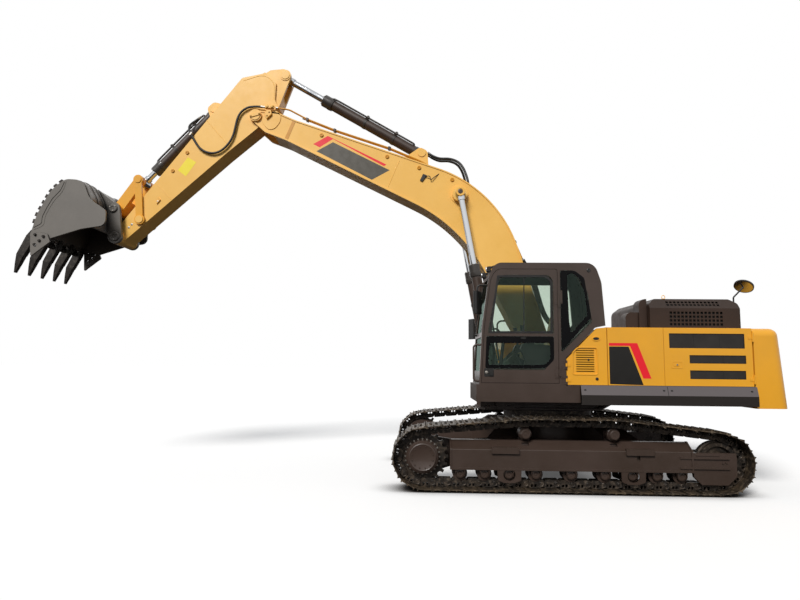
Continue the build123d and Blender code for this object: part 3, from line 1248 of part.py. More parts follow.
def wear_blocks():
    """Blocks welded along the curved edge of each side plate, on spokes from one centre."""
    ring_face = offset(outline(BUCKET_SIDE), 32) - outline(BUCKET_SIDE)
    band = face_plate(ring_face, BUCKET_HALF - 50, BUCKET_HALF)
    blocks = []
    for index in range(WEAR_BLOCK_COUNT):
        spoke = Pos(300, 0, 150) * Rot(0, index * 8.2 - 58, 0) * Pos(600, 0, 0) * Box(1200, 4000, WEAR_BLOCK)
        blocks += pair(placed(BUCKET, band & spoke))
    return blocks


def side_cutters():
    outer = BUCKET_HALF
    cutter = plate(((1128, -40), (957, -40, 15), (850, -62, 20), (798, -185, 20),
                    (1100, -422, 12)), outer, outer + 30)
    holes = [disc(centre, 22, outer - 1, outer + 31) for centre in CUTTER_HOLES]
    cutter = cutter.cut(*holes)
    return [placed(BUCKET, shape) for shape in pair(cutter)]


def bucket_pins():
    reach = ARM_HALF + 65 + 60
    pins = []
    for centre, radius in (((0, 0), TIP_PIN_RADIUS), (LINK_PIN, LINK_PIN_RADIUS)):
        pins.append(placed(BUCKET, joined([
            disc(centre, radius, -reach, reach), disc(centre, radius + 25, reach, reach + PIN_CAP),
            disc(centre, radius + 25, -reach - PIN_CAP, -reach)])))
    return pins


# Assembly ------------------------------------------------------------------------------------

def machine():
    """Every node's name with its solids."""
    nodes = {}
    for side, turn in (("left", lambda shape: shape), ("right", mirrored)):
        nodes[f"track_{side}"] = [turn(track())]
    nodes["track_frames"] = pair(track_frame())
    nodes["idler_yokes"] = pair(idler_yoke())
    nodes["sprockets"] = pair(sprocket())
    nodes["final_drives"] = pair(final_drive())
    nodes["idlers"] = pair(idler())
    nodes["track_rollers"] = [shape for x, _ in ROLLERS for shape in pair(track_roller(x))]
    nodes["carrier_rollers"] = [shape for x in CARRIER_X for shape in pair(carrier_roller(x))]
    nodes["carbody"] = [carbody()]
    ring_low = CARBODY_TOP + RING_LOWER
    nodes["swing_ring_lower"] = [swing_ring(CARBODY_TOP, ring_low)]
    nodes["swing_ring_upper"] = [swing_ring(ring_low + RUNNING, MAIN_FLOOR)]
    nodes["main_floor"] = [main_floor()]
    nodes["main_webs"] = pair(main_web())
    nodes["deck_bearers"] = [shape for x in BEARER_X for shape in pair(deck_bearer(x))]
    nodes["frame_pins"] = frame_pins()
    nodes["decks"] = [deck(DECK_FRONT), mirrored(deck(RIGHT_FRONT))]
    nodes["catwalks"] = pair(catwalk())
    nodes["counterweight"] = [counterweight()]
    nodes["house_shell"] = [house_shell()]
    nodes["louvre_panel"] = [louvre_panel()]
    nodes["engine_humps"] = front_humps()
    nodes["engine"] = [engine()]
    nodes["fuel_tank"] = [fuel_tank()]
    nodes["tool_box"] = [tool_box()]
    nodes["hydraulic_tank"] = [hydraulic_tank()]
    nodes["handrails"] = handrails()
    nodes["rear_mirror"] = rear_mirror()
    nodes["side_mirrors"] = side_mirrors()
    cab_body, cab_panes = cab()
    nodes["cab_shell"] = [cab_body]
    nodes["cab_glass"] = cab_panes
    door_body, door_panes = cab_door()
    nodes["cab_door"] = [door_body]
    nodes["cab_door_glass"] = door_panes
    nodes["seat_base"] = [seat_base()]
    nodes["seat_cushions"] = seat_cushions()
    nodes["consoles"] = consoles()
    nodes["side_panels"] = pair(side_panel(HOUSE_FRONT - PANEL_GAP, DOOR_SPLIT, 1))
    nodes["side_door"] = [rear_side_door()]
    nodes["pump_door"] = [mirrored(rear_side_door())]
    nodes["engine_cover"] = [engine_cover()]
    nodes["cover_grilles"] = cover_grilles()
    nodes["boom"] = [boom()]
    nodes["boom_pins"] = boom_pins()
    nodes["arm"] = [arm()]
    nodes["arm_pins"] = arm_pins()
    boom_barrel, boom_rod = cylinder(BOOM_CYLINDER_BASE, in_world(BOOM, BOOM_CYLINDER_EYE),
                                     BOOM_CYLINDER_Y, BOOM_CYLINDER)
    nodes["boom_cylinder_barrels"] = pair(boom_barrel)
    nodes["boom_cylinder_rods"] = pair(boom_rod)
    arm_barrel, arm_rod = cylinder(in_world(BOOM, ARM_CYLINDER_BASE),
                                   in_world(ARM, ARM_CYLINDER_EYE), 0, ARM_CYLINDER)
    nodes["arm_cylinder_barrel"] = [arm_barrel]
    nodes["arm_cylinder_rod"] = [arm_rod]
    bucket_barrel, bucket_rod = cylinder(in_world(ARM, BUCKET_CYLINDER_BASE), ROCKER_TOP, 0,
                                         BUCKET_CYLINDER)
    nodes["bucket_cylinder_barrel"] = [bucket_barrel]
    nodes["bucket_cylinder_rod"] = [bucket_rod]
    nodes["rockers"] = pair(rocker())
    nodes["bucket_link"] = [bucket_link()]
    shell = bucket()
    nodes["bucket"] = [shell]
    nodes["bucket_teeth"] = bucket_teeth(shell)
    nodes["side_cutters"] = side_cutters()
    nodes["wear_blocks"] = wear_blocks()
    nodes["bucket_pins"] = bucket_pins()
    return nodes


def main():
    os.makedirs("parts", exist_ok=True)
    for name, solids in machine().items():
        moved = Pos(-ORIGIN_X, 0, 0) * Compound(children=[
            solid for shape in solids for solid in shape.solids()])
        export_step(moved, f"parts/{name}.step")


if __name__ == "__main__":
    main()
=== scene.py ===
import json
import math
from contextlib import contextmanager

import bmesh
import bpy
from bpy.props import FloatProperty, FloatVectorProperty, PointerProperty
from mathutils import Matrix, Vector
from mathutils.geometry import tessellate_polygon


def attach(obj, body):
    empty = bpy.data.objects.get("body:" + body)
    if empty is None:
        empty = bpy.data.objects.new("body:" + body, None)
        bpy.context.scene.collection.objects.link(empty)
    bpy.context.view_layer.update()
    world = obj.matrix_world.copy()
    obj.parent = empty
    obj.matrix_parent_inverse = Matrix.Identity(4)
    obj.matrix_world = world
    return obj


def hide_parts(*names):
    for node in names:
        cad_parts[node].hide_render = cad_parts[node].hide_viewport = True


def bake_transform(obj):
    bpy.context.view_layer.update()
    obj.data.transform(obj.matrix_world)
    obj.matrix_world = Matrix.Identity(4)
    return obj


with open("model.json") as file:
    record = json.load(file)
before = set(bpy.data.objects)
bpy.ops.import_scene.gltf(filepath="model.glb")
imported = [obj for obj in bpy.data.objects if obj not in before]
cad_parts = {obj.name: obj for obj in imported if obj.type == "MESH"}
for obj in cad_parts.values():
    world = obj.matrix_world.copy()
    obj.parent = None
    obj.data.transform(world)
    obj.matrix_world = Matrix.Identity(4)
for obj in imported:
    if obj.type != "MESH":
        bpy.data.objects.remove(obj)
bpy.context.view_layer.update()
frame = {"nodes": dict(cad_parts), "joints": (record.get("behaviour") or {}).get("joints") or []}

bl_info = {
    "name": "Crawler excavator",
    "version": (1, 0, 0),
    "blender": (4, 5, 0),
    "location": "View3D > Sidebar > Excavator",
    "description": "Finishes, pipework and fittings of a crawler excavator",
    "category": "Object",
}

# Lengths in the tables below are in millimetres. Points of the chassis, cab and house are
# (x, z) from the swing axis on the ground; those of the boom, arm and bucket are (along, above)
# from the pin that each one hangs on.
MM = 0.001


def joint_point(name):
    """Where a joint's axis stands at rest, in the row frame."""
    for joint in frame["joints"]:
        if joint["name"] == name:
            return Vector(joint["pos_m"])
    raise ValueError(f"no joint named {name}")


SWING_X = joint_point("swing").x
FOOT = joint_point("boom_lift")
ELBOW = joint_point("arm_curl")
WRIST = joint_point("bucket_curl")


def link_place(start, end):
    """A function from (along, above, y) in millimetres to a point, for a link between two pins."""
    along = (end - start).normalized()
    above = Vector((-along.z, 0, along.x))

    def place(a, b, y):
        return start + along * a * MM + above * b * MM + Vector((0, y * MM, 0))
    return place


def on_machine(x, z, y):
    return Vector((SWING_X + x * MM, y * MM, z * MM))


on_boom = link_place(FOOT, ELBOW)
on_arm = link_place(ELBOW, WRIST)
on_bucket = link_place(WRIST, WRIST + Vector((1, 0, 0)))


# Colours and nodes ---------------------------------------------------------------------------

def linear(code):
    """An sRGB hex colour as linear red, green, blue and an alpha of 1."""
    parts = [int(code[i:i + 2], 16) / 255 for i in (0, 2, 4)]
    return (*[p / 12.92 if p <= 0.04045 else ((p + 0.055) / 1.055) ** 2.4 for p in parts], 1.0)


def per_mm(size):
    """The scale of a pattern in object coordinates (metres) whose features are size mm wide."""
    return 1 / (size * MM)


def add_node(tree, kind, inputs=None, **settings):
    """Adds a node; an input is a value, an output socket, or a node whose first output it takes."""
    item = tree.nodes.new(kind)
    for key, value in settings.items():
        setattr(item, key, value)
    for key, value in (inputs or {}).items():
        if isinstance(value, bpy.types.Node):
            value = value.outputs[0]
        if isinstance(value, bpy.types.NodeSocket):
            tree.links.new(value, item.inputs[key])
        else:
            item.inputs[key].default_value = value
    return item


def blank_material(name):
    """A material without nodes, its tree, and the object's own coordinates to draw patterns in."""
    material = bpy.data.materials.new(name)
    material.use_nodes = True
    tree = material.node_tree
    tree.nodes.clear()
    return material, tree, add_node(tree, "ShaderNodeTexCoord").outputs["Object"]


# Finishes ------------------------------------------------------------------------------------
# A colour mix takes its colours at sockets 6 and 7 and gives the result at output 2.

def enamel(name, code, shade, roughness, coat, shine=0.3):
    """Two-pack polyurethane enamel sprayed on steel: a smooth even colour with a soft sheen, a
    faint orange peel and a film of dust that mutes it in patches."""
    material, tree, point = blank_material(name)
    cloud = add_node(tree, "ShaderNodeTexNoise", {
        "Vector": point, "Scale": per_mm(700), "Detail": 4.0, "Roughness": 0.6})
    patch = add_node(tree, "ShaderNodeMapRange", {"Value": cloud, "From Min": 0.35,
                                                  "From Max": 0.7})
    colour = add_node(tree, "ShaderNodeMix", {0: patch, 6: linear(code), 7: linear(shade)},
                      data_type="RGBA")
    peel = add_node(tree, "ShaderNodeTexNoise", {"Vector": point, "Scale": per_mm(9),
                                                 "Detail": 2.0})
    relief = add_node(tree, "ShaderNodeBump", {"Height": peel, "Distance": 0.25 * MM,
                                               "Strength": 0.35})
    film = add_node(tree, "ShaderNodeTexNoise", {
        "Vector": point, "Scale": per_mm(160), "Detail": 5.0, "Roughness": 0.65})
    dull = add_node(tree, "ShaderNodeMapRange", {
        "Value": film, "From Min": 0.3, "From Max": 0.75, "To Min": roughness - 0.05,
        "To Max": roughness + 0.12})
    shader = add_node(tree, "ShaderNodeBsdfPrincipled", {
        "Base Color": colour.outputs[2], "Roughness": dull, "IOR": 1.5, "Coat Weight": coat,
        "Specular IOR Level": shine, "Coat Roughness": 0.12, "Normal": relief})
    add_node(tree, "ShaderNodeOutputMaterial", {"Surface": shader})
    return material


def worn_steel(name, code, bright, dusty):
    """Rolled and heat-treated steel of the chain: dark, a little rusty in the hollows, rubbed
    bright in spots and dry with dust."""
    material, tree, point = blank_material(name)
    rub = add_node(tree, "ShaderNodeTexNoise", {
        "Vector": point, "Scale": per_mm(60), "Detail": 6.0, "Roughness": 0.7})
    rubbed = add_node(tree, "ShaderNodeMapRange", {"Value": rub, "From Min": 0.5,
                                                   "From Max": 0.68})
    steel = add_node(tree, "ShaderNodeMix", {0: rubbed, 6: linear(code), 7: linear(bright)},
                     data_type="RGBA")
    dry = add_node(tree, "ShaderNodeTexNoise", {"Vector": point, "Scale": per_mm(240),
                                                "Detail": 4.0, "Roughness": 0.6})
    dust = add_node(tree, "ShaderNodeMapRange", {"Value": dry, "From Min": 0.45,
                                                 "From Max": 0.75, "To Max": 0.7})
    colour = add_node(tree, "ShaderNodeMix", {0: dust, 6: steel.outputs[2], 7: linear(dusty)},
                      data_type="RGBA")
    grain = add_node(tree, "ShaderNodeTexNoise", {"Vector": point, "Scale": per_mm(25),
                                                  "Detail": 4.0})
    rough = add_node(tree, "ShaderNodeMapRange", {"Value": grain, "From Min": 0.3,
                                                  "From Max": 0.7, "To Min": 0.36, "To Max": 0.6})
    pits = add_node(tree, "ShaderNodeTexNoise", {"Vector": point, "Scale": per_mm(7),
                                                 "Detail": 4.0, "Roughness": 0.6})
    relief = add_node(tree, "ShaderNodeBump", {"Height": pits, "Distance": 0.8 * MM,
                                               "Strength": 0.5})
    shader = add_node(tree, "ShaderNodeBsdfPrincipled", {
        "Base Color": colour.outputs[2], "Metallic": 0.55, "Roughness": rough, "Normal": relief})
    add_node(tree, "ShaderNodeOutputMaterial", {"Surface": shader})
    return material


def ground_steel(name, code, roughness):
    """Steel turned or ground to size: bright, with fine tool marks."""
    material, tree, point = blank_material(name)
    marks = add_node(tree, "ShaderNodeTexNoise", {"Vector": point, "Scale": per_mm(3),
                                                  "Detail": 2.0})
    rough = add_node(tree, "ShaderNodeMapRange", {
        "Value": marks, "From Min": 0.3, "From Max": 0.7, "To Min": roughness,
        "To Max": roughness + 0.12})
    relief = add_node(tree, "ShaderNodeBump", {"Height": marks, "Distance": 0.05 * MM,
                                               "Strength": 0.2})
    shader = add_node(tree, "ShaderNodeBsdfPrincipled", {
        "Base Color": linear(code), "Metallic": 1.0, "Roughness": rough, "Normal": relief})
    add_node(tree, "ShaderNodeOutputMaterial", {"Surface": shader})
    return material


def chrome_plate():
    """Hard chrome on a ground rod: a clear mirror with a very thin film of oil, and a painted
    reflection: darker where it turns away, as a rod is that mirrors the ground and the boom beside it."""
    material, tree, point = blank_material("hard_chrome")
    oil = add_node(tree, "ShaderNodeTexNoise", {"Vector": point, "Scale": per_mm(120),
                                                "Detail": 3.0})
    film = add_node(tree, "ShaderNodeMapRange", {"Value": oil, "From Min": 0.4, "From Max": 0.7,
                                                 "To Min": 0.06, "To Max": 0.16})
    # Painted reflection: the base colour darkens towards the rod's edges, where it would mirror the
    # dark ground.
    turned = add_node(tree, "ShaderNodeLayerWeight", {"Blend": 0.4}).outputs["Facing"]
    tone = add_node(tree, "ShaderNodeMix", {0: turned, 6: linear("D3D6DA"), 7: linear("4A4A4D")},
                    data_type="RGBA")
    shader = add_node(tree, "ShaderNodeBsdfPrincipled", {
        "Base Color": tone.outputs[2], "Metallic": 1.0, "Roughness": film})
    add_node(tree, "ShaderNodeOutputMaterial", {"Surface": shader})
    return material


def tinted_glass():
    """Toughened green glass: it dims what is behind it, and mirrors more at a glance."""
    material, tree, point = blank_material("green_glass")
    clear = add_node(tree, "ShaderNodeBsdfTransparent", {"Color": linear("EEF3EE")})
    ripple = add_node(tree, "ShaderNodeTexNoise", {"Vector": point, "Scale": per_mm(400),
                                                   "Detail": 1.0})
    relief = add_node(tree, "ShaderNodeBump", {"Height": ripple, "Distance": 2 * MM,
                                               "Strength": 0.2})
    mirror = add_node(tree, "ShaderNodeBsdfGlossy", {
        "Color": linear("8FA39A"), "Roughness": 0.02, "Normal": relief})
    glance = add_node(tree, "ShaderNodeFresnel", {"IOR": 1.5})
    shader = add_node(tree, "ShaderNodeMixShader", {0: glance, 1: clear, 2: mirror})
    add_node(tree, "ShaderNodeOutputMaterial", {"Surface": shader})
    return material


def soft_black(name, code, roughness, grain_mm, depth_mm, shine=0.35):
    """Moulded rubber or plastic: near black, matt, with a fine moulded grain."""
    material, tree, point = blank_material(name)
    grain = add_node(tree, "ShaderNodeTexNoise", {"Vector": point, "Scale": per_mm(grain_mm),
                                                  "Detail": 3.0})
    dry = add_node(tree, "ShaderNodeTexNoise", {"Vector": point, "Scale": per_mm(200),
                                                "Detail": 3.0})
    dust = add_node(tree, "ShaderNodeMapRange", {"Value": dry, "From Min": 0.4, "From Max": 0.7,
                                                 "To Max": 0.25})
    tone = add_node(tree, "ShaderNodeMix", {0: dust, 6: linear(code), 7: linear("3A3733")},
                    data_type="RGBA")
    relief = add_node(tree, "ShaderNodeBump", {"Height": grain, "Distance": depth_mm * MM,
                                               "Strength": 0.4})
    shader = add_node(tree, "ShaderNodeBsdfPrincipled", {
        "Base Color": tone.outputs[2], "Roughness": roughness, "Specular IOR Level": shine,
        "Normal": relief})
    add_node(tree, "ShaderNodeOutputMaterial", {"Surface": shader})
    return material


def vinyl_film(name, code):
    """Cast vinyl film stuck on the paint: a flat even colour with a satin face."""
    material, tree, point = blank_material(name)
    wiped = add_node(tree, "ShaderNodeTexNoise", {"Vector": point, "Scale": per_mm(90),
                                                  "Detail": 3.0})
    satin = add_node(tree, "ShaderNodeMapRange", {"Value": wiped, "From Min": 0.4,
                                                  "From Max": 0.7, "To Min": 0.28, "To Max": 0.4})
    shader = add_node(tree, "ShaderNodeBsdfPrincipled", {
        "Base Color": linear(code), "Roughness": satin, "Specular IOR Level": 0.35})
    add_node(tree, "ShaderNodeOutputMaterial", {"Surface": shader})
    return material


def woven_cloth():
    """Polyester seat cloth, plain weave: threads about 2 mm apart, drawn 4 mm so that they show."""
    material, tree, point = blank_material("seat_cloth")
    warp, weft = (add_node(tree, "ShaderNodeTexWave", {
        "Vector": point, "Scale": per_mm(4) / math.tau, "Distortion": 0.6},
        wave_type="BANDS", bands_direction=way).outputs["Fac"] for way in "XZ")
    cross = add_node(tree, "ShaderNodeMath", {0: warp, 1: weft}, operation="MULTIPLY")
    colour = add_node(tree, "ShaderNodeMix", {0: cross, 6: linear("A8935A"), 7: linear("E3D08F")},
                      data_type="RGBA")
    relief = add_node(tree, "ShaderNodeBump", {"Height": cross, "Distance": 0.8 * MM,
                                               "Strength": 0.5})
    shader = add_node(tree, "ShaderNodeBsdfPrincipled", {
        "Base Color": colour.outputs[2], "Roughness": 0.85, "Sheen Weight": 0.4,
        "Normal": relief})
    add_node(tree, "ShaderNodeOutputMaterial", {"Surface": shader})
    return material


def lamp_lens():
    """Moulded clear polycarbonate over a reflector: pale, glossy and ribbed."""
    material, tree, point = blank_material("lamp_lens")
    ribs = add_node(tree, "ShaderNodeTexWave", {"Vector": point, "Scale": per_mm(9) / math.tau},
                    wave_type="BANDS", bands_direction="Y").outputs["Fac"]
    tone = add_node(tree, "ShaderNodeMix", {0: ribs, 6: linear("B9BEC2"), 7: linear("F2F4F5")},
                    data_type="RGBA")
    relief = add_node(tree, "ShaderNodeBump", {"Height": ribs, "Distance": 1.0 * MM,
                                               "Strength": 0.4})
    shader = add_node(tree, "ShaderNodeBsdfPrincipled", {
        "Base Color": tone.outputs[2], "Roughness": 0.08, "IOR": 1.58, "Coat Weight": 1.0,
        "Normal": relief})
    add_node(tree, "ShaderNodeOutputMaterial", {"Surface": shader})
    return material


def walkway_paint():
    """Walkway steel with raised studs 20 mm apart: grey where it faces or tilts up, which is worn
    tread on the flat tops and painted light from above on the sloping upper edge, and on its
    upright edge the chassis's dark paint deepened to near black as painted shade."""
    material, tree, point = blank_material("studded_walkway")
    studs = add_node(tree, "ShaderNodeTexVoronoi", {
        "Vector": point, "Scale": per_mm(20), "Randomness": 0.0}).outputs["Distance"]
    raised = add_node(tree, "ShaderNodeMapRange", {"Value": studs, "From Min": 0.15,
                                                   "From Max": 0.3, "To Min": 1.0, "To Max": 0.0})
    lie = add_node(tree, "ShaderNodeSeparateXYZ", {
        0: add_node(tree, "ShaderNodeTexCoord").outputs["Normal"]})
    # Painted light and shade: faces that tilt up take the lighter grey as if lit from above, and
    # upright faces a near black darker than the chassis paint; on flat tread tops the grey is also
    # wear.
    wear_and_painted_light_up = add_node(tree, "ShaderNodeMapRange", {
        "Value": lie.outputs["Z"], "From Min": 0.15, "From Max": 0.25})
    tone = add_node(tree, "ShaderNodeMix", {0: wear_and_painted_light_up, 6: linear("1D1815"), 7: linear("5C5657")},
                    data_type="RGBA")
    relief = add_node(tree, "ShaderNodeBump", {"Height": raised, "Distance": 1.2 * MM,
                                               "Strength": 0.3})
    shader = add_node(tree, "ShaderNodeBsdfPrincipled", {
        "Base Color": tone.outputs[2], "Roughness": 0.5, "Specular IOR Level": 0.3,
        "Normal": relief})
    add_node(tree, "ShaderNodeOutputMaterial", {"Surface": shader})
    return material


def bucket_paint():
    """Enamel on the bucket: dark grey outside, and near black inside it and in its other recesses,
    where little light comes: a painted shade, laid by ambient occlusion."""
    material, tree, point = blank_material("bucket_enamel")
    cloud = add_node(tree, "ShaderNodeTexNoise", {
        "Vector": point, "Scale": per_mm(300), "Detail": 4.0, "Roughness": 0.6})
    outer = add_node(tree, "ShaderNodeMix", {0: cloud, 6: linear("64605B"), 7: linear("75706A")},
                     data_type="RGBA")
    # Painted shade: the colour goes near black where ambient occlusion finds recesses, as inside the
    # bucket.
    painted_shade_ao = add_node(tree, "ShaderNodeAmbientOcclusion", {"Distance": 900 * MM}, samples=8)
    unshaded_share = add_node(tree, "ShaderNodeMapRange", {
        "Value": painted_shade_ao.outputs["AO"], "From Min": 0.35, "From Max": 0.75})
    tone = add_node(tree, "ShaderNodeMix", {0: unshaded_share, 6: linear("0E0C0B"),
                                            7: outer.outputs[2]}, data_type="RGBA")
    peel = add_node(tree, "ShaderNodeTexNoise", {"Vector": point, "Scale": per_mm(9),
                                                 "Detail": 2.0})
    relief = add_node(tree, "ShaderNodeBump", {"Height": peel, "Distance": 0.25 * MM,
                                               "Strength": 0.35})
    shader = add_node(tree, "ShaderNodeBsdfPrincipled", {
        "Base Color": tone.outputs[2], "Roughness": 0.36, "Specular IOR Level": 0.35,
        "Coat Weight": 0.15, "Coat Roughness": 0.12, "Normal": relief})
    add_node(tree, "ShaderNodeOutputMaterial", {"Surface": shader})
    return material


FINISHES = {}


def finishes():
    """Every finish by its short name, made once."""
    if not FINISHES:
        look = bpy.context.scene.excavator_paint
        main, dark = look.main_code(), look.dark_code()
        FINISHES.update({
            "amber": enamel("amber_enamel", main, "E0A02C", 0.34, 0.25),
            "boom_amber": enamel("boom_amber_enamel", "F3BF62", "EBB555", 0.36, 0.2),
            "umber": enamel("umber_enamel", dark, "443731", 0.36, 0.2),
            "bucket": bucket_paint(),
            "cover": enamel("gloss_brown_enamel", "302621", "3A2E28", 0.42, 0.04, 0.16),
            "barrel": enamel("barrel_enamel", "35312E", "3F3A36", 0.3, 0.3),
            "chain": worn_steel("chain_steel", "241F1B", "6A5E52", "463A2E"),
            "shoe": worn_steel("shoe_steel", "322B24", "8A7B68", "6A5842"),
            "tooth": worn_steel("tooth_steel", "201C19", "4A443D", "2E2823"),
            "pin": ground_steel("turned_steel", "A9A39B", 0.3),
            "bolt": ground_steel("zinc_bolt", "8E8A84", 0.35),
            "chrome": chrome_plate(),
            "glass": tinted_glass(),
            "rubber": soft_black("hose_rubber", "101010", 0.45, 3, 0.2),
            "plastic": soft_black("moulded_black", "131313", 0.4, 2, 0.15),
            "seal": soft_black("seal_rubber", "0B0B0B", 0.6, 4, 0.1),
            "mesh": soft_black("wire_mesh", "211D1A", 0.5, 9, 2.5),
            "frit": enamel("fired_black_border", "050506", "08080A", 0.25, 0.0, 0.1),
            "red": vinyl_film("red_film", "E8202F"),
            "black": vinyl_film("black_film", "14120F"),
            "grey_film": vinyl_film("grey_film", "4E4A42"),
            "ochre": vinyl_film("ochre_band", "C88A20"),
            "label": vinyl_film("yellow_label", "F0DB2F"),
            "cloth": woven_cloth(),
            "lens": lamp_lens(),
            "walkway": walkway_paint(),
        })
    return FINISHES


# Shapes --------------------------------------------------------------------------------------

def skin(bm, rings):
    """Faces between rings of points; a ring of one point closes to a tip."""
    for first, second in zip(rings, rings[1:]):
        count = max(len(first), len(second))
        for i in range(count):
            j = (i + 1) % count
            corners = [first[i % len(first)], first[j % len(first)],
                       second[j % len(second)], second[i % len(second)]]
            bm.faces.new(list(dict.fromkeys(corners)))


def add_turned(bm, centre, axis, profile, sides=24):
    """A turned shape: the profile's columns are distance along the axis and radius."""
    axis = axis.normalized()
    across = axis.orthogonal().normalized()
    other = axis.cross(across)
    rings = []
    for travel, radius in profile:
        middle = centre + axis * travel * MM
        turns = [math.tau * k / sides for k in range(sides if radius else 1)]
        rings.append([bm.verts.new(
            middle + (across * math.cos(t) + other * math.sin(t)) * radius * MM) for t in turns])
    skin(bm, rings)


def add_tube(bm, line, radius, sides=12):
    """A round bar, pipe or hose along a line of points, closed at both ends."""
    rings, normal = [], None
    for i, here in enumerate(line):
        ahead = (line[min(i + 1, len(line) - 1)] - line[max(i - 1, 0)]).normalized()
        normal = ahead.orthogonal() if normal is None else normal
        normal = (normal - ahead * normal.dot(ahead)).normalized()
        other = ahead.cross(normal)
        rings.append([bm.verts.new(
            here + (normal * math.cos(t) + other * math.sin(t)) * radius * MM)
            for t in (math.tau * k / sides for k in range(sides))])
    skin(bm, rings)
    bm.faces.new(rings[0][::-1])
    bm.faces.new(rings[-1])


def bent(points, radius, steps=5):
    """Straight runs whose corners are rounded off, as a steel pipe is bent."""
    line = [points[0]]
    for before, here, after in zip(points, points[1:], points[2:]):
        back, ahead = before - here, after - here
        reach = min(radius * MM, 0.45 * back.length, 0.45 * ahead.length)
        for k in range(steps + 1):
            t = k / steps
            line.append(here + back.normalized() * reach * (1 - t) ** 2
                        + ahead.normalized() * reach * t ** 2)
    return line + [points[-1]]


def flowing(points, steps=6):
    """A smooth line through the points, as a hose lies."""
    ends = [points[0] * 2 - points[1], *points, points[-1] * 2 - points[-2]]
    line = []
    for a, b, c, d in zip(ends, ends[1:], ends[2:], ends[3:]):
        for k in range(steps):
            t = k / steps
            line.append(0.5 * (2 * b + (c - a) * t + (2 * a - 5 * b + 4 * c - d) * t ** 2
                               + (3 * b - a - 3 * c + d) * t ** 3))
    return line + [points[-1]]


def moved_in(outline, distance, hole=False):
    """The outline moved by a distance into the plate that it bounds."""
    points = [Vector(p) for p in outline]
    area = sum(a.cross(b) for a, b in zip(points, points[1:] + points[:1]))
    sign = distance if (area > 0) != hole else -distance
    moved = []
    for before, here, after in zip(points[-1:] + points[:-1], points, points[1:] + points[:1]):
        into = (here - before).normalized()
        middle = (into + (after - here).normalized()).normalized()
        moved.append(here + Vector((-middle.y, middle.x)) * sign / max(0.4, middle.dot(into)))
    return moved


def add_plate(bm, place, outlines, low, high, chamfer=1.5):
    """A plate between two widths: an edge and any holes, with small chamfers all round."""
    caps = []
    for width, inset in ((low, chamfer), (low + chamfer, 0), (high - chamfer, 0), (high, chamfer)):
        level = []
        for index, outline in enumerate(outlines):
            points = moved_in(outline, inset, index > 0) if inset else outline
            level.append([(p, bm.verts.new(place(p[0], p[1], width))) for p in points])
        caps.append(level)
    for index in range(len(outlines)):
        skin(bm, [[vert for _, vert in level[index]] for level in caps])
    for level in (caps[0], caps[-1]):
        verts = [vert for line in level for _, vert in line]
        lines = [[Vector((p[0], p[1], 0)) for p, _ in line] for line in level]
        for triangle in tessellate_polygon(lines):
            bm.faces.new([verts[i] for i in triangle])


def box_line(a, b, wide, tall, turn=0.0):
    """A rectangle about a point, turned by an angle in degrees."""
    c, s = math.cos(math.radians(turn)), math.sin(math.radians(turn))
    return [(a + c * u - s * v, b + s * u + c * v) for u, v in (
        (-wide / 2, -tall / 2), (wide / 2, -tall / 2), (wide / 2, tall / 2), (-wide / 2, tall / 2))]


def oval_line(a, b, wide, tall, count, start=0.0):
    """Points round an oval: wide and tall are its half axes, and start is an angle."""
    turns = [start + math.tau * k / count for k in range(count)]
    return [(a + wide * math.cos(t), b + tall * math.sin(t)) for t in turns]


def ring_line(a, b, radius, count, start=0.0):
    """Points round a circle."""
    return oval_line(a, b, radius, radius, count, start)


def rounded(outline, radius, steps=3):
    """A closed outline with its corners rounded off."""
    points = [Vector(p) for p in outline]
    line = []
    for before, here, after in zip(points[-1:] + points[:-1], points, points[1:] + points[:1]):
        back, ahead = before - here, after - here
        reach = min(radius, 0.45 * back.length, 0.45 * ahead.length)
        for k in range(steps + 1):
            t = k / steps
            line.append(here + back.normalized() * reach * (1 - t) ** 2
                        + ahead.normalized() * reach * t ** 2)
    return line


def add_bolt(bm, centre, axis, across, tall=0.62):
    """A hexagon head on a washer; across is the head's width over its corners."""
    add_turned(bm, centre, axis, ((0, across * 0.62), (across * 0.1, across * 0.62),
                                  (across * 0.1, across * 0.5)), 18)
    add_turned(bm, centre, axis, ((across * 0.1, across * 0.5), (across * tall, across * 0.5),
                                  (across * tall, 0)), 6)


def add_bolts(bm, place, spots, level, axis, across):
    """The same bolt at each of the spots (a, b), all at one level."""
    for a, b in spots:
        add_bolt(bm, place(a, b, level), axis, across)


def add_pad(bm, place, middle, size, corner, low, high, chamfer=1.5, turn=0.0):
    """A rectangular plate with rounded corners; its size is its width and height."""
    add_plate(bm, place, [rounded(box_line(*middle, *size, turn), corner)], low, high, chamfer)


def add_boss(bm, centre, axis, radius, bore):
    """A round welded boss with a plug sunk in its bore."""
    add_turned(bm, centre, axis, ((0, radius), (12, radius - 1), (18, radius - 8), (18, bore),
                                  (12, bore - 3), (12, 0)))


def add_fitting(bm, start, ahead, profile):
    """A hexagonal pipe or hose end that points from start to the point ahead."""
    add_turned(bm, start, ahead - start, profile, 6)


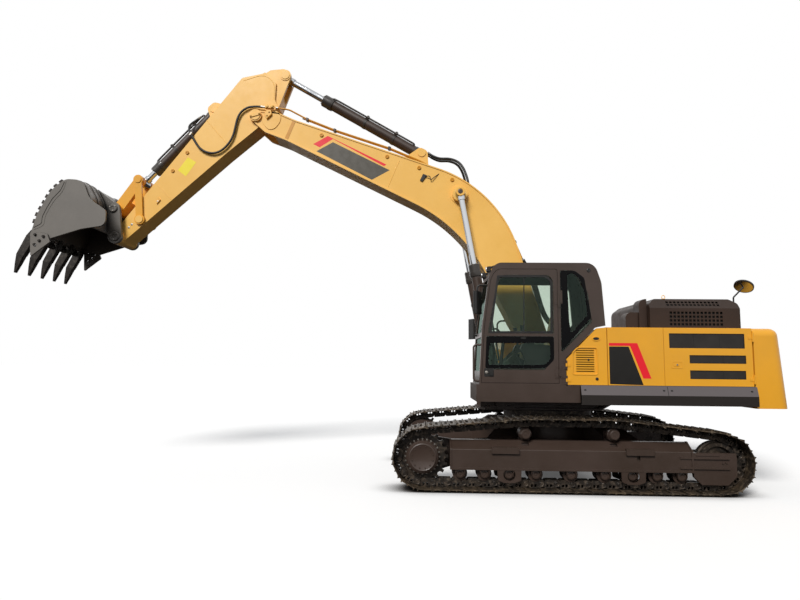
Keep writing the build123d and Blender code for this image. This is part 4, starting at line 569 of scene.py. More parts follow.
@contextmanager
def piece(name, finish, body, replaces=()):
    """A bmesh to draw a piece in, which then gets its finish; given a body's name it rides on that
    body, and given anything else it is baked where it is drawn and rides on none.
    """
    bm = bmesh.new()
    yield bm
    bmesh.ops.remove_doubles(bm, verts=bm.verts, dist=0.02 * MM)
    bmesh.ops.recalc_face_normals(bm, faces=bm.faces)
    mesh = bpy.data.meshes.new(name)
    bm.to_mesh(mesh)
    bm.free()
    mesh.shade_smooth()
    mesh.set_sharp_from_angle(angle=math.radians(32))
    item = bpy.data.objects.new(name, mesh)
    bpy.context.scene.collection.objects.link(item)
    mesh.materials.append(finishes()[finish])
    if isinstance(body, str):
        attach(item, body)
    else:
        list(body)
        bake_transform(item)
    if replaces:
        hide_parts(*replaces)


def facing(side):
    """The direction out of the machine on that side."""
    return Vector((0, side, 0))


# Faces that carry trim -----------------------------------------------------------------------

SIDES = ((1, "left"), (-1, "right"))
AIR = 0.3                       # trim stands this far off the face that carries it
FILM = (AIR, 0.9, 0.2)          # inner face, outer face and chamfer of a film
# How far each face lies from the middle, across the machine
HUB_SIDE = 1475
SPROCKET_SIDE = 1365
ROLLER_SIDE = 1445
CARRIER_SIDE = 1434
FRAME_SIDE = 1535
YOKE_SIDE = 1485
HOUSE_SIDE = 1490
GRILLE_SIDE = 1480              # the bottom of the recesses for mesh in the rear doors
COVER_SIDE = 905
BOOM_SIDE = 238
BOOM_TIP_SIDE = 250             # the plates welded on at the boom's tip
BOOM_PIN_SIDE = 289
ARM_SIDE = 200
BUCKET_SIDE = 750
BUCKET_EAR_SIDE = 339
CUTTER_SIDE = 780


def from_face(place, y, side=1):
    """The same function, with its last number measured outwards from a face at y on a side."""
    return lambda a, b, out: place(a, b, side * (y + out))


# Tracks --------------------------------------------------------------------------------------

TRACK_Y = 1295
SHOES = 48
SHOE_PITCH = 216
SHOE_WIDTH = 600
IDLER = (-2045, 430, 330)           # x, z and radius of the pin line round each wheel
SPROCKET = (2020, 449.97154, 345.2)
CARRIERS = ((590, 778, 145), (-630, 778, 145))
ROLLER_X = (1500, 1165, 830, 460, -20, -480, -850, -1185, -1515)
ROLLER_Z = 235
LINK = rounded([(-36, -50), (146, -50), (176, -16), (182, 22), (166, 61), (22, 61), (4, 46),
                (-38, 40), (-50, -4)], 12)
LINK_WINDOWS = [rounded(box_line(a, 28, 30, 38), 9) for a in (78, 126)]
SHOE = [(-107, 60), (-70, 64), (70, 64), (98, 58), (112, 49), (138, 43), (142, 50), (118, 62),
        (106, 76), (102, 94), (94, 94), (88, 77), (8, 77), (4, 94), (-4, 94), (-8, 77), (-86, 77),
        (-91, 94), (-99, 94), (-105, 74)]


def belt_points(wheels, count):
    """Evenly spaced points on a belt round wheels (x, z, radius), listed anticlockwise."""
    normals = []
    for (x, z, radius), (far_x, far_z, far_radius) in zip(wheels, wheels[1:] + wheels[:1]):
        heading = math.atan2(far_z - z, far_x - x)
        normals.append(heading - math.acos((radius - far_radius) / math.hypot(far_x - x, far_z - z)))
    corners = []
    for index, (x, z, radius) in enumerate(wheels):
        turn = (normals[index] - normals[index - 1]) % math.tau
        steps = max(2, round(turn / 0.03))
        arc = [normals[index - 1] + turn * k / steps for k in range(steps + 1)]
        corners += [Vector((x + radius * math.cos(a), z + radius * math.sin(a))) for a in arc]
    corners.append(corners[0])
    lengths = [(b - a).length for a, b in zip(corners, corners[1:])]
    points, done, index = [], 0.0, 0
    for step in range(count):
        goal = sum(lengths) * step / count
        while done + lengths[index] < goal:
            done += lengths[index]
            index += 1
        points.append(corners[index].lerp(corners[index + 1], (goal - done) / lengths[index]))
    return points


def pitch_places(side):
    """For each link, a function from (along, outwards, y) to a point."""
    pins = belt_points([IDLER, SPROCKET, *CARRIERS], SHOES)
    for here, ahead in zip(pins, pins[1:] + pins[:1]):
        along = (ahead - here).normalized()

        def place(a, b, y, here=here, along=along):
            x = here.x + along.x * a + along.y * b
            z = here.y + along.y * a - along.x * b
            return on_machine(x, z, side * (TRACK_Y + y))
        yield place


def build_track(side, tag):
    """The shoes, links, pins and bolts of one track."""
    body, stands_for, axis = "undercarriage", [f"track_{tag}"], facing(side)
    places = list(pitch_places(side))
    with piece(f"track_{tag}_shoes", "shoe", body, stands_for) as bm:
        for place in places:
            add_plate(bm, lambda a, b, y: place(SHOE_PITCH / 2 + a, b, y), [SHOE],
                      -SHOE_WIDTH / 2, SHOE_WIDTH / 2, 2)
    with piece(f"track_{tag}_links", "chain", body, stands_for) as bm:
        for place in places:
            for low in (-93, 48):
                add_plate(bm, place, [LINK, *LINK_WINDOWS], low, low + 45, 3)
            pin = place(0, 0, 0)
            add_turned(bm, pin, axis, ((-100, 0), (-100, 20), (-96, 26), (96, 26), (100, 20),
                                       (100, 11), (94, 9), (94, 0)), 16)
            add_turned(bm, pin, axis, ((93, 28), (96, 38), (93, 42)), 16)
    with piece(f"track_{tag}_bolts", "chain", body, stands_for) as bm:
        for place in places:
            out = place(0, 1, 0) - place(0, 0, 0)
            for a in (68, 148):
                for y in (-70, 70):
                    add_bolt(bm, place(a, 77, y), out, 34, 0.5)


# Undercarriage -------------------------------------------------------------------------------

def build_wheels(side, tag):
    """Hub cover, sprocket bolts, roller caps and carrier caps on one side."""
    out, body = facing(side), "undercarriage"
    x, z = SPROCKET[:2]
    with piece(f"hub_cover_{tag}", "umber", body) as bm:
        place = from_face(on_machine, HUB_SIDE, side)
        add_turned(bm, place(x, z, 0), out,
                   ((0.4, 192), (10, 196), (18, 190), (22, 178), (18, 170), (18, 0)), 40)
        add_bolts(bm, place, ring_line(x, z, 148, 12, math.tau / 24), 18.2, out, 18)
    with piece(f"sprocket_bolts_{tag}", "bolt", body) as bm:
        add_bolts(bm, from_face(on_machine, SPROCKET_SIDE, side), ring_line(x, z, 236, 24), 0.4,
                  out, 24)
    with piece(f"roller_caps_{tag}", "umber", body) as bm:
        for x in ROLLER_X:
            add_turned(bm, on_machine(x, ROLLER_Z, side * ROLLER_SIDE), out,
                       ((0.4, 60), (10, 58), (14, 50), (14, 34), (6, 31), (6, 15), (12, 13),
                        (12, 0)), 24)
        for x, z, _ in CARRIERS:
            add_turned(bm, on_machine(x, z, side * CARRIER_SIDE), out,
                       ((0.4, 66), (12, 64), (18, 56), (18, 40), (12, 37), (12, 12), (18, 10),
                        (18, 0)), 24)


def build_frame_trim(side, tag):
    """Ribs, a rail and bolts on the outer face of one track frame."""
    with piece(f"frame_trim_{tag}", "umber", "undercarriage") as bm:
        place = from_face(on_machine, FRAME_SIDE, side)
        for x in (700, 1075, -1128, -755):
            add_plate(bm, place, [box_line(x, 555, 8, 60)], AIR, 5, 1)
        place = from_face(on_machine, YOKE_SIDE, side)
        add_plate(bm, place, [rounded([(-2020, 520), (-1700, 520), (-1700, 546), (-2020, 546)], 10)],
                  AIR, 9, 2)
    with piece(f"frame_bolts_{tag}", "umber", "undercarriage") as bm:
        add_bolts(bm, place, ((-2060, 428), (-2105, 436)), 0.4, facing(side), 26)


# House ---------------------------------------------------------------------------------------

BLACK_FILM = [(-570, 2000), (-840, 2000), (-1030, 1470), (-570, 1480)]
RED_FILM = [(-570, 2050), (-960, 2050), (-1140, 1560), (-1030, 1560), (-860, 2010), (-570, 2010)]
LOUVRE_RECESS = [(-70, 1615), (-70, 1905), (-140, 1975), (-400, 1975), (-400, 1615)]
# Sheets of mesh in the rear side doors: middle (x, z), width and height
DOOR_MESHES = ((-1915, 2087.5, 1030, 205), (-2055, 1832.5, 770, 115), (-2050, 1620, 760, 120))

# Points on the left side of the house and cab
on_house = from_face(on_machine, HOUSE_SIDE)


def build_house_trim():
    """Films on the left panel, rims and locks of the louvre door, and the rear doors' mesh."""
    with piece("black_panel_film", "black", "upper") as bm:
        add_plate(bm, on_house, [rounded(BLACK_FILM, 8)], *FILM)
    with piece("red_panel_film", "red", "upper") as bm:
        add_plate(bm, on_house, [RED_FILM], *FILM)
    lock_rim = oval_line(-395, 2106, 58, 34, 24)
    with piece("louvre_surround", "amber", "louvre_door") as bm:
        recess = rounded(LOUVRE_RECESS, 24)
        add_plate(bm, on_house, [moved_in(recess, -16), recess], AIR, 7, 2)
        add_plate(bm, on_house, [lock_rim, moved_in(lock_rim, 14)], AIR, 9, 2)
    with piece("louvre_locks", "plastic", "louvre_door") as bm:
        add_plate(bm, on_house, [moved_in(lock_rim, 15)], AIR, 2, 0.5)
        for x, z, out, radius in ((-394, 1549, AIR, 22), (-285, 1812, AIR - 10, 15)):
            add_turned(bm, on_house(x, z, out), facing(1),
                       ((0, radius), (6, radius - 1), (8, radius * 0.5), (4, radius * 0.4),
                        (4, 0)), 20)
    for (side, tag), door in zip(SIDES, ("side_door", "pump_door")):
        place = from_face(on_machine, GRILLE_SIDE, side)
        with piece(f"door_mesh_{tag}", "mesh", door) as bm:
            for x, z, wide, tall in DOOR_MESHES:
                add_plate(bm, place, [box_line(x, z, wide - 2, tall - 2)], 0.5, 2, 0.3)
        with piece(f"door_mesh_frames_{tag}", "seal", door) as bm:
            for x, z, wide, tall in DOOR_MESHES:
                edge = rounded(box_line(x, z, wide - 1, tall - 1), 10)
                add_plate(bm, place, [edge, moved_in(edge, 9)], 2.2, 7, 1)
                for share in (-0.17, 0.17) if wide > 900 else (-0.1,):
                    add_plate(bm, place, [box_line(x + share * wide, z, 4, tall - 20)], 2.2, 4, 0.4)
    with piece("side_door_latch", "amber", "side_door") as bm:
        add_plate(bm, on_house, [rounded(box_line(-1498, 1756, 162, 104), 12),
                                 rounded(box_line(-1498, 1754, 126, 70), 8)], AIR, 4, 1)
        add_pad(bm, on_house, (-1486, 1754), (76, 50), 8, AIR, 5)
    with piece("side_door_lock", "bolt", "side_door") as bm:
        add_turned(bm, on_house(-1498, 1754, 5.2), facing(1),
                   ((0, 12), (3, 12), (4, 8), (2, 6), (2, 0)), 16)


# The walkways' upper edge slopes: how far up and how far inwards it goes for each metre of slope
EDGE_RISE, EDGE_LEAN = 0.956, 0.294


def build_catwalk_trim():
    """Bolts, joints and tread plates of the walkways."""
    for side, tag in SIDES:
        def face(a, b, out):
            """A point on the sloping upper edge: b is up the slope from its lower line."""
            return on_machine(a, 1330 + b * EDGE_RISE,
                              side * (1560 - b * EDGE_LEAN + out * EDGE_RISE))
        with piece(f"catwalk_bolts_{tag}", "seal", "upper") as bm:
            normal = Vector((0, side * EDGE_RISE, EDGE_LEAN))
            for x in (-215, -1285, -1392, -2470):
                add_pad(bm, face, (x, 72), (34, 18), 8, AIR, 1.6, 0.3)
                add_bolt(bm, face(x, 72, 1.6), normal, 17)
            add_plate(bm, face, [box_line(-1338, 66, 7, 128)], AIR, 1.2, 0.2)
        with piece(f"catwalk_tread_{tag}", "walkway", "upper") as bm:
            for low, high in ((-1325, -200), (-2520, -1350)):
                add_pad(bm, lambda a, b, up: on_machine(a, 1460 + up, side * b),
                        ((low + high) / 2, 1500), (high - low, 28), 6, AIR, 3, 0.8)


def build_cover_trim():
    """Bolts, lifting ring, near black sheets behind the grilles as painted shade of the cover's inside,
    and the rear mirror's glass.
    """
    with piece("cover_bolts", "bolt", "engine_cover") as bm:
        for side, _ in SIDES:
            for x in (-1420, -1600, -2000, -2400, -2640):
                add_bolt(bm, on_machine(x, 2290, side * (COVER_SIDE + AIR)), facing(side), 20)
    with piece("lifting_ring", "boom_amber", "engine_cover") as bm:
        ring = [on_machine(x, z, 760) for x, z in oval_line(-1637, 2779, 24, 28, 24)]
        add_tube(bm, [*ring, ring[0]], 5, 10)
        add_turned(bm, on_machine(-1637, 2750.4, 760), Vector((0, 0, 1)),
                   ((0, 22), (4, 22), (5, 12), (10, 9), (10, 0)), 20)
    # Painted shade: near black sheets just inside the grilles, where the cover's inside lies in shade.
    with piece("cover_liners", "seal", "engine_cover") as bm:
        for side, _ in SIDES:
            for (x, z, y), (rise, out), tall in (((-2052, 2443, COVER_SIDE), (0, 1), 270),
                                                 ((-2030, 2673, 842), (0.655, 0.756), 150)):
                def place(a, b, w):
                    """A point w inside the cover's face."""
                    return on_machine(x + a, z + b * out - w * rise,
                                      side * (y - b * rise - w * out))
                add_plate(bm, place, [box_line(0, 0, 840, tall)], 34, 37, 0.5)
    with piece("rear_mirror_glass", "chrome", "engine_cover") as bm:
        out = Vector((0.45, 0.42, -0.83)).normalized()
        add_turned(bm, on_machine(-2935.3, 2965, 600), out,
                   ((0.4, 126), (2, 126), (5, 100), (8, 60), (9, 0)), 36)


# Cab -----------------------------------------------------------------------------------------

UPPER_PANE = [(1092, 2172), (974, 2996), (287, 2999), (200, 2925), (208, 2178)]
LOWER_PANE = [(1130, 2128), (190, 2130), (193, 1806), (309, 1690), (1150, 1684)]
LOWER_CLEAR = [(1090, 2034), (246, 2042), (240, 1822), (312, 1736), (1106, 1728)]
QUARTER_PANE = [(85, 3066), (-120, 3066), (-250, 2966), (-335, 2400), (85, 1925)]
QUARTER_CLEAR = [(-8, 3016), (-100, 3032), (-182, 2955), (-262, 2717), (-284, 2440), (-55, 2178),
                 (-28, 2330)]


def build_cab_glazing():
    """The rubber round the door's upper window, and the black borders of the other panes."""
    with piece("door_window_seals", "seal", "cab_door") as bm:
        edge = rounded(UPPER_PANE, 60, 4)
        add_plate(bm, on_house, [rounded(UPPER_PANE, 12), moved_in(edge, 30)], AIR, 4, 1)
        add_plate(bm, on_house, [rounded([(612, 2192), (598, 2192), (590, 2968), (604, 2968)], 3)],
                  AIR, 5, 1)
    with piece("lower_glass_border", "frit", "cab_door") as bm:
        add_plate(bm, on_house, [rounded(LOWER_PANE, 30, 4), rounded(LOWER_CLEAR, 36, 4)],
                  AIR, 2, 0.4)
    with piece("quarter_glass_border", "frit", "upper") as bm:
        add_plate(bm, on_house, [rounded(QUARTER_PANE, 30, 4), rounded(QUARTER_CLEAR, 40, 4)],
                  AIR, 1.5, 0.3)


def build_cab_fittings():
    """Handles, lock and hinge plates of the door, roof cap, lamps and wiper."""
    with piece("door_fittings", "plastic", "cab_door") as bm:
        add_pad(bm, on_house, (1098, 1625), (132, 116), 14, AIR, 4)
        add_pad(bm, on_house, (1066, 1625), (56, 96), 10, 4, 22, 4)
        add_pad(bm, on_house, (618, 2105), (70, 26), 10, AIR, 16, 3)
    with piece("door_lock", "bolt", "cab_door") as bm:
        add_turned(bm, on_house(1132, 1625, 4.2), facing(1),
                   ((0, 22), (5, 21), (7, 12), (4, 10), (4, 0)), 20)
    for tag, x, body in (("door", 160, "cab_door"), ("pillar", 84, "upper")):
        with piece(f"hinge_plates_{tag}", "umber", body) as bm:
            for z in (2690, 1640):
                add_pad(bm, on_house, (x, z), (44, 190), 8, AIR, 7, 2)
                add_bolts(bm, on_house, ((x, z - 66), (x, z + 66)), 7, facing(1), 15)
    with piece("cab_roof_cap", "plastic", "upper") as bm:
        add_turned(bm, on_house(-314, 3072, AIR), facing(1),
                   ((0, 28), (5, 27), (8, 20), (6, 12), (6, 0)), 24)
    lamp_rows = (700, 1310)
    with piece("cab_lamp_housing", "plastic", "upper") as bm:
        for y in lamp_rows:
            place = from_face(on_machine, y)
            add_plate(bm, place, [rounded([(1035, 3150), (1100, 3146), (1112, 3076),
                                           (1050, 3060)], 18)], -48, 48, 6)
            add_plate(bm, place, [rounded([(985, 3170), (1040, 3150), (1035, 3120),
                                           (990, 3120)], 8)], -12, 12, 2)
    with piece("cab_lamp_lenses", "lens", "upper") as bm:
        for y in lamp_rows:
            add_turned(bm, on_machine(1106, 3110, y), Vector((1, 0, -0.15)),
                       ((-2, 38), (4, 37), (8, 26), (10, 0)), 28)
    with piece("wiper", "plastic", "upper") as bm:
        foot, middle, tip = (on_machine(1222, 2180, 760), on_machine(1200, 2380, 800),
                             on_machine(1150, 2700, 980))
        add_tube(bm, [foot, middle, tip], 7, 8)
        add_tube(bm, [on_machine(1196, 2440, 830), on_machine(1118, 2880, 1080)], 9, 8)
        add_turned(bm, foot - Vector((30 * MM, 0, 0)), Vector((1, 0, 0.1)),
                   ((0, 26), (20, 24), (34, 16), (34, 0)), 20)


# Boom ----------------------------------------------------------------------------------------

BOOM_TOP = ((1062, 928), (1617, 1225), (2186, 1297), (2841, 1265), (3449, 1160), (3974, 1011),
            (4902, 668), (5413, 512), (5732, 446), (5930, 330))
PIPE_RADIUS = 14
HOSE_RADIUS = 19
BOOM_EYE = (2546.2, 1111)           # the boom cylinders' upper pins, on the boom
BOOM_EYE_OUT = 470                  # and how far out from the machine's middle they end


def add_clamp(bm, place, a, b, turn, ys, radius):
    """A bolted block that holds pipes side by side at the given places across."""
    tall, brim = 2 * radius + 16, radius + 9
    add_pad(bm, place, (a, b), (46, tall), 5, min(ys) - brim, max(ys) + brim, 3, turn)
    up = place(a - math.sin(math.radians(turn)), b + math.cos(math.radians(turn)), 0) - place(a, b, 0)
    middle = sum(ys) / len(ys)
    add_bolt(bm, place(a, b, middle) + up.normalized() * (tall / 2) * MM, up, 18)


def build_boom_pipes():
    """Two pairs of steel pipes along the top of the boom, with their clamps and nuts."""
    # The outer pipes go on past the arm's tail, and the inner ones end short of it
    lines = [[(a, b, side * (228 if a > 5500 else 205)) for a, b in BOOM_TOP] for side in (-1, 1)]
    lines += [[(a, b, side * 150) for a, b in (*BOOM_TOP[:-2], (5480, 495))] for side in (-1, 1)]
    for tag, line in zip("adbc", lines):
        with piece(f"boom_pipe_{tag}", "ochre", "boom") as bm:
            add_tube(bm, bent([on_boom(*point) for point in line], 50), PIPE_RADIUS)
    with piece("boom_pipe_clamps", "umber", "boom") as bm:
        for a, b, turn in ((1350, 1085, 29), (2500, 1283, -2), (3100, 1222, -10), (3980, 1012, -18),
                           (4901, 668, -19), (5390, 518, -17)):
            for pair in ((-205, -150), (150, 205)):
                add_clamp(bm, on_boom, a, b - 2, turn, pair, PIPE_RADIUS)
    with piece("boom_pipe_nuts", "bolt", "boom") as bm:
        for line in lines:
            for end, beside in ((line[0], line[1]), (line[-1], line[-2])):
                add_fitting(bm, on_boom(*end), on_boom(*beside),
                            ((-6, 0), (-6, 19), (34, 19), (34, 14)))


def build_boom_hoses():
    """Hoses from the upper frame to the boom, and from the boom to the arm cylinder."""
    for index, y in enumerate((-120, -72, -24, 24, 72, 120)):
        with piece(f"foot_hose_{index}", "rubber",
                   ("upper", "boom", on_machine(60, 2160, y), on_machine(420, 2690, y))) as bm:
            line = flowing([on_machine(-300, 1560, y), on_machine(-330, 1900, y),
                            on_machine(-250, 2230, y), on_machine(10, 2560, y),
                            on_boom(700, 800, y * 1.2), on_boom(1062, 950, y * 1.6)], 8)
            add_tube(bm, line, HOSE_RADIUS)
    for side, tag in SIDES:
        y = side * 62
        with piece(f"arm_cylinder_hose_{tag}", "rubber",
                   ("arm_barrel", "boom", on_boom(3330, 1410, y), on_boom(3050, 1570, y))) as bm:
            line = [on_boom(a, b, y * spread) for a, b, spread in (
                (3430, 1398, 0.8), (3345, 1408, 0.9), (3234, 1446, 1), (3100, 1545, 1),
                (2957, 1588, 1.2), (2811, 1550, 1.8), (2640, 1440, 2.6), (2520, 1330, 3))]
            add_tube(bm, flowing(line, 8), 21)
    with piece("arm_cylinder_hose_ends", "bolt", "arm_barrel") as bm:
        for y in (50, -50):
            add_fitting(bm, on_boom(3460, 1396, y), on_boom(3400, 1402, y),
                        ((0, 0), (0, 26), (40, 26), (44, 22), (70, 22), (70, 0)))


def build_boom_films():
    """The films on the boom's left side, left blank."""
    left = from_face(on_boom, BOOM_SIDE)
    with piece("boom_grey_film", "grey_film", "boom") as bm:
        add_plate(bm, left, [[(4893, 184), (4777, 480), (3722, 710), (3848, 394)]], *FILM)
    with piece("boom_red_film", "red", "boom") as bm:
        add_plate(bm, left, [[(5016, 244), (4916, 509), (3826, 751), (3842, 703), (4813, 522),
                              (4896, 269)]], *FILM)


def build_boom_trim(side, tag):
    """Band, plates, a weld, bosses and the lock of the tip's pin on one side of the boom."""
    place, out = from_face(on_boom, BOOM_SIDE, side), facing(side)
    with piece(f"boom_band_{tag}", "ochre", "boom") as bm:
        add_plate(bm, place, [[(5510, 372), (5566, 358), (5456, 8), (5400, 26)]], AIR, 4, 1)
    with piece(f"boom_plates_{tag}", "boom_amber", "boom") as bm:
        add_plate(bm, place, [rounded([(5694, 40), (5704, 190), (5775, 290), (5905, 296),
                                       (6010, 190), (5985, 10), (5880, -40), (5760, -46)], 60)],
                  AIR, 12, 3)
        add_plate(bm, place, [ring_line(2560, 1120, 155, 40)], AIR, 9, 2)
        weld = [place(a, b, 1) for a, b in ((3699, 941), (3640, 740), (3553, 462))]
        add_tube(bm, flowing(weld), 4, 8)
    with piece(f"boom_bosses_{tag}", "ochre", "boom") as bm:
        for a, b in ((5004, 450), (3903, 862), (3364, 1051), (2808, 1240)):
            add_boss(bm, place(a, b, AIR), out, 34, 13)
    place = from_face(on_boom, BOOM_PIN_SIDE, side)
    with piece(f"boom_pin_locks_{tag}", "boom_amber", "boom") as bm:
        add_pad(bm, place, (6105, 0), (54, 190), 20, AIR, 14, 3, 35)
    with piece(f"boom_lock_bolts_{tag}", "boom_amber", "boom") as bm:
        add_bolts(bm, place, ring_line(6105, 0, 72, 2, math.radians(125)), 14.2, out, 26)


def build_boom_bracket():
    """A small bracket with a bent rod on the boom's left side."""
    place = from_face(on_boom, BOOM_SIDE)
    with piece("boom_bracket", "plastic", "boom") as bm:
        add_plate(bm, place, [rounded([(3170, 900), (3215, 890), (3245, 1010), (3180, 1030)], 8)],
                  AIR, 24, 3)
        add_tube(bm, flowing([place(3190, 1000, 24), place(3130, 1040, 42), place(3080, 1010, 38),
                              place(3060, 1100, 24), place(3040, 1190, -8)]), 7, 8)


def build_valve_block():
    """The hose burst valve and its fittings on the side of the boom's tip."""
    place = from_face(on_boom, BOOM_TIP_SIDE)
    with piece("tip_valve_block", "boom_amber", "boom") as bm:
        add_pad(bm, place, (6000, 262), (150, 62), 10, 0.4, 62, 5, -36)
        add_plate(bm, place, [rounded([(5905, 70), (5990, 110), (6010, 200), (5950, 240),
                                       (5890, 190)], 16)], 0.4, 40, 5)
        add_bolts(bm, place, ((5940, 120), (5952, 190)), 40.2, facing(1), 26)
        for a, b in ((5965, 288), (6030, 240)):
            add_turned(bm, place(a, b, 62), facing(1), ((0, 24), (10, 23), (16, 15), (16, 0)), 20)
    with piece("tip_valve_ports", "bolt", "boom") as bm:
        add_fitting(bm, place(6055, 222, 12), place(6120, 180, 12),
                    ((0, 0), (0, 24), (26, 24), (28, 19), (60, 19), (62, 23), (86, 23), (86, 0)))


def build_boom_eyes(side, tag):
    """A painted ring and a dark pin's end over the upper eye of a boom cylinder."""
    centre, out = on_boom(*BOOM_EYE, side * BOOM_EYE_OUT), facing(side)
    with piece(f"boom_eye_ring_{tag}", "boom_amber", "boom") as bm:
        add_turned(bm, centre, out,
                   ((0.4, 76), (10, 76), (14, 70), (14, 46), (8, 42), (8, 40)), 36)
    with piece(f"boom_eye_pin_{tag}", "umber", "boom") as bm:
        add_turned(bm, centre, out, ((0.4, 41), (7, 41), (9, 36), (9, 14), (5, 12), (5, 0)), 24)


# Arm -----------------------------------------------------------------------------------------

# The hose over the elbow and down the arm's side, on the arm
ARM_HOSE = ((-2, 201), (105, 222), (205, 202), (305, 146), (404, 72), (504, 4), (604, -39),
            (725, -62), (848, -55), (945, -12), (1013, 60), (1056, 150), (1070, 252), (1055, 370),
            (1032, 474), (1010, 560))
ARM_EYE = (-862, 237)               # the arm cylinder's pin, on the arm


def build_arm_hoses():
    """Hoses that bend over the elbow, then run along the arm's side to the bucket cylinder."""
    for tag, side in (("outer", 1), ("inner", -1)):
        y = side * 240
        line = [on_boom(6110, 188, y * 1.09), on_boom(6170, 149, y * 1.06), on_arm(-80, 148, y),
                *(on_arm(a, b, y) for a, b in ARM_HOSE), on_arm(980, 630, y * 0.88),
                on_arm(930, 694, y * 0.66), on_arm(840, 724, y * 0.42), on_arm(745, 726, y * 0.32)]
        with piece(f"arm_hose_{tag}", "rubber",
                   ("boom", "arm", on_boom(6120, 180, 0), on_arm(60, 200, 0))) as bm:
            add_tube(bm, flowing(line, 4), HOSE_RADIUS)
        with piece(f"arm_hose_clip_{tag}", "bolt", "arm") as bm:
            add_pad(bm, from_face(on_arm, ARM_SIDE, side), (1022, 520), (64, 30), 8, 0.4, 62, 3,
                    -10)
    with piece("arm_hose_ends", "bolt", "bucket_barrel") as bm:
        for y in (76, -76):
            add_fitting(bm, on_arm(752, 726, y), on_arm(690, 722, y),
                        ((0, 0), (0, 23), (30, 23), (32, 19), (62, 19), (62, 0)))


def build_arm_label():
    """The blank label on the arm's left side."""
    with piece("arm_label", "label", "arm") as bm:
        add_plate(bm, from_face(on_arm, ARM_SIDE),
                  [[(1327, 262), (1278, 96), (1567, 31), (1600, 203)]], *FILM)


def build_arm_trim(side, tag):
    """Bosses, welds, a small bracket and bolts on one side of the arm."""
    place, out = from_face(on_arm, ARM_SIDE, side), facing(side)
    with piece(f"arm_bosses_{tag}", "ochre", "arm") as bm:
        for a, b in ((1282, 328), (1670, 254)):
            add_boss(bm, place(a, b, AIR), out, 32, 12)
    with piece(f"arm_welds_{tag}", "boom_amber", "arm") as bm:
        for line in (((668, 545), (679, 16), (676, -120)), ((2019, 300), (2016, 100), (2014, -104)),
                     ((-262, 640), (-560, 480), (-610, 250), (-420, 20))):
            add_tube(bm, flowing([place(a, b, 0.5) for a, b in line]), 4, 8)
        add_plate(bm, place, [rounded([(2145, 70), (2160, 70), (2160, 20), (2240, 8),
                                       (2240, -6), (2145, 8)], 4)], AIR, 22, 1.5)
    with piece(f"arm_bolts_{tag}", "bolt", "arm") as bm:
        for a, b in ((2781, 21), (2852, 16), (2200, 20)):
            add_turned(bm, place(a, b, AIR), out, ((0, 20), (2, 20), (3, 12), (3, 0)), 20)


def build_arm_tail():
    """The round plates on the arm's tail, about the arm cylinder's pin."""
    with piece("arm_tail_plate", "boom_amber", "arm") as bm:
        for low, high in ((-182.84, -164), (164, 182.84)):
            add_plate(bm, on_arm, [rounded(ring_line(*ARM_EYE, 74, 24), 3)], low, high, 3)


# Cylinders -----------------------------------------------------------------------------------

ROCKER_TOP = on_arm(2624 + 693 * math.cos(math.radians(127.9)),
                    -18 + 693 * math.sin(math.radians(127.9)), 0)
CYLINDERS = (
    # name, body of its barrel, base pin, eye pin, places across, gland, barrel and rod radius,
    # collar bands, and where its oil pipe lies: degrees from the left side up
    ("boom_cylinder", "boom_barrels", on_machine(880, 1600, 0), on_boom(*BOOM_EYE, 0),
     (400, -400), 1750, 80, 50, (620, 1180), 90),
    ("arm_cylinder", "arm_barrel", on_boom(3521.2, 1309, 0), on_arm(*ARM_EYE, 0), (0,),
     1965, 90, 55, (560, 1130), 48),
    ("bucket_cylinder", "bucket_barrel", on_arm(439, 656, 0), ROCKER_TOP, (0,),
     1480, 82, 50, (420, 960), 78),
)


def build_cylinder(name, body, base, eye, ys, gland, radius, rod, bands, lean):
    """Gland, collars, bolts, oil pipe and wiper of one cylinder or a pair."""
    line = link_place(base, eye)
    along = line(1, 0, 0) - line(0, 0, 0)
    cos, sin = math.cos(math.radians(lean)), math.sin(math.radians(lean))
    for index, y in enumerate(ys):
        def place(a, b, w):
            """A point b out from the axis towards the oil pipe, and w across from there."""
            return line(a, b * sin - w * cos, y + b * cos + w * sin)
        tag = f"{name}_{'lr'[index]}" if len(ys) > 1 else name
        axis, out = line(0, 0, y), place(0, 1, 0) - place(0, 0, 0)
        brim = radius + 15
        with piece(f"{tag}_collars", "barrel", body) as bm:
            add_turned(bm, axis, along,
                       ((gland - 186, radius), (gland - 184, brim), (gland - 150, brim + 4),
                        (gland - 112, brim + 4), (gland - 108, brim), (gland + 1, brim),
                        (gland + 8, radius + 8), (gland + 8, radius - 20)), 36)
            add_turned(bm, axis, along,
                       ((96, radius - 6), (98, radius + 6), (140, radius + 6), (146, radius + 0.5)), 36)
            for spot in bands:
                add_turned(bm, axis, along,
                           ((spot - 24, radius + 0.4), (spot - 22, radius + 7),
                            (spot + 22, radius + 7), (spot + 24, radius + 0.4)), 36)
                add_pad(bm, place, (spot, radius + 22), (52, 56), 6, -36, 36, 3)
        with piece(f"{tag}_pipe", "barrel", body) as bm:
            add_tube(bm, bent([place(a, radius + b, 0) for a, b in (
                (190, 2), (200, 26), (260, 30), (gland - 240, 30), (gland - 160, 26),
                (gland - 140, 4))], 30), 16)
        with piece(f"{tag}_bolts", "bolt", body) as bm:
            for b, w in ring_line(0, 0, radius - 2, 8, math.tau / 16):
                add_bolt(bm, place(gland + 8, b, w), along, 22)
            for spot in bands:
                for w in (-24, 24):
                    add_bolt(bm, place(spot, radius + 50, w), out, 17)
        with piece(f"{tag}_wiper", "seal", body) as bm:
            add_turned(bm, axis, along,
                       ((gland + 1, rod + 1), (gland + 1, rod + 18), (gland + 12, rod + 14),
                        (gland + 14, rod + 1)), 32)


# Bucket --------------------------------------------------------------------------------------

LINK_PIN = (50, 480)                # the link's pin, on the bucket


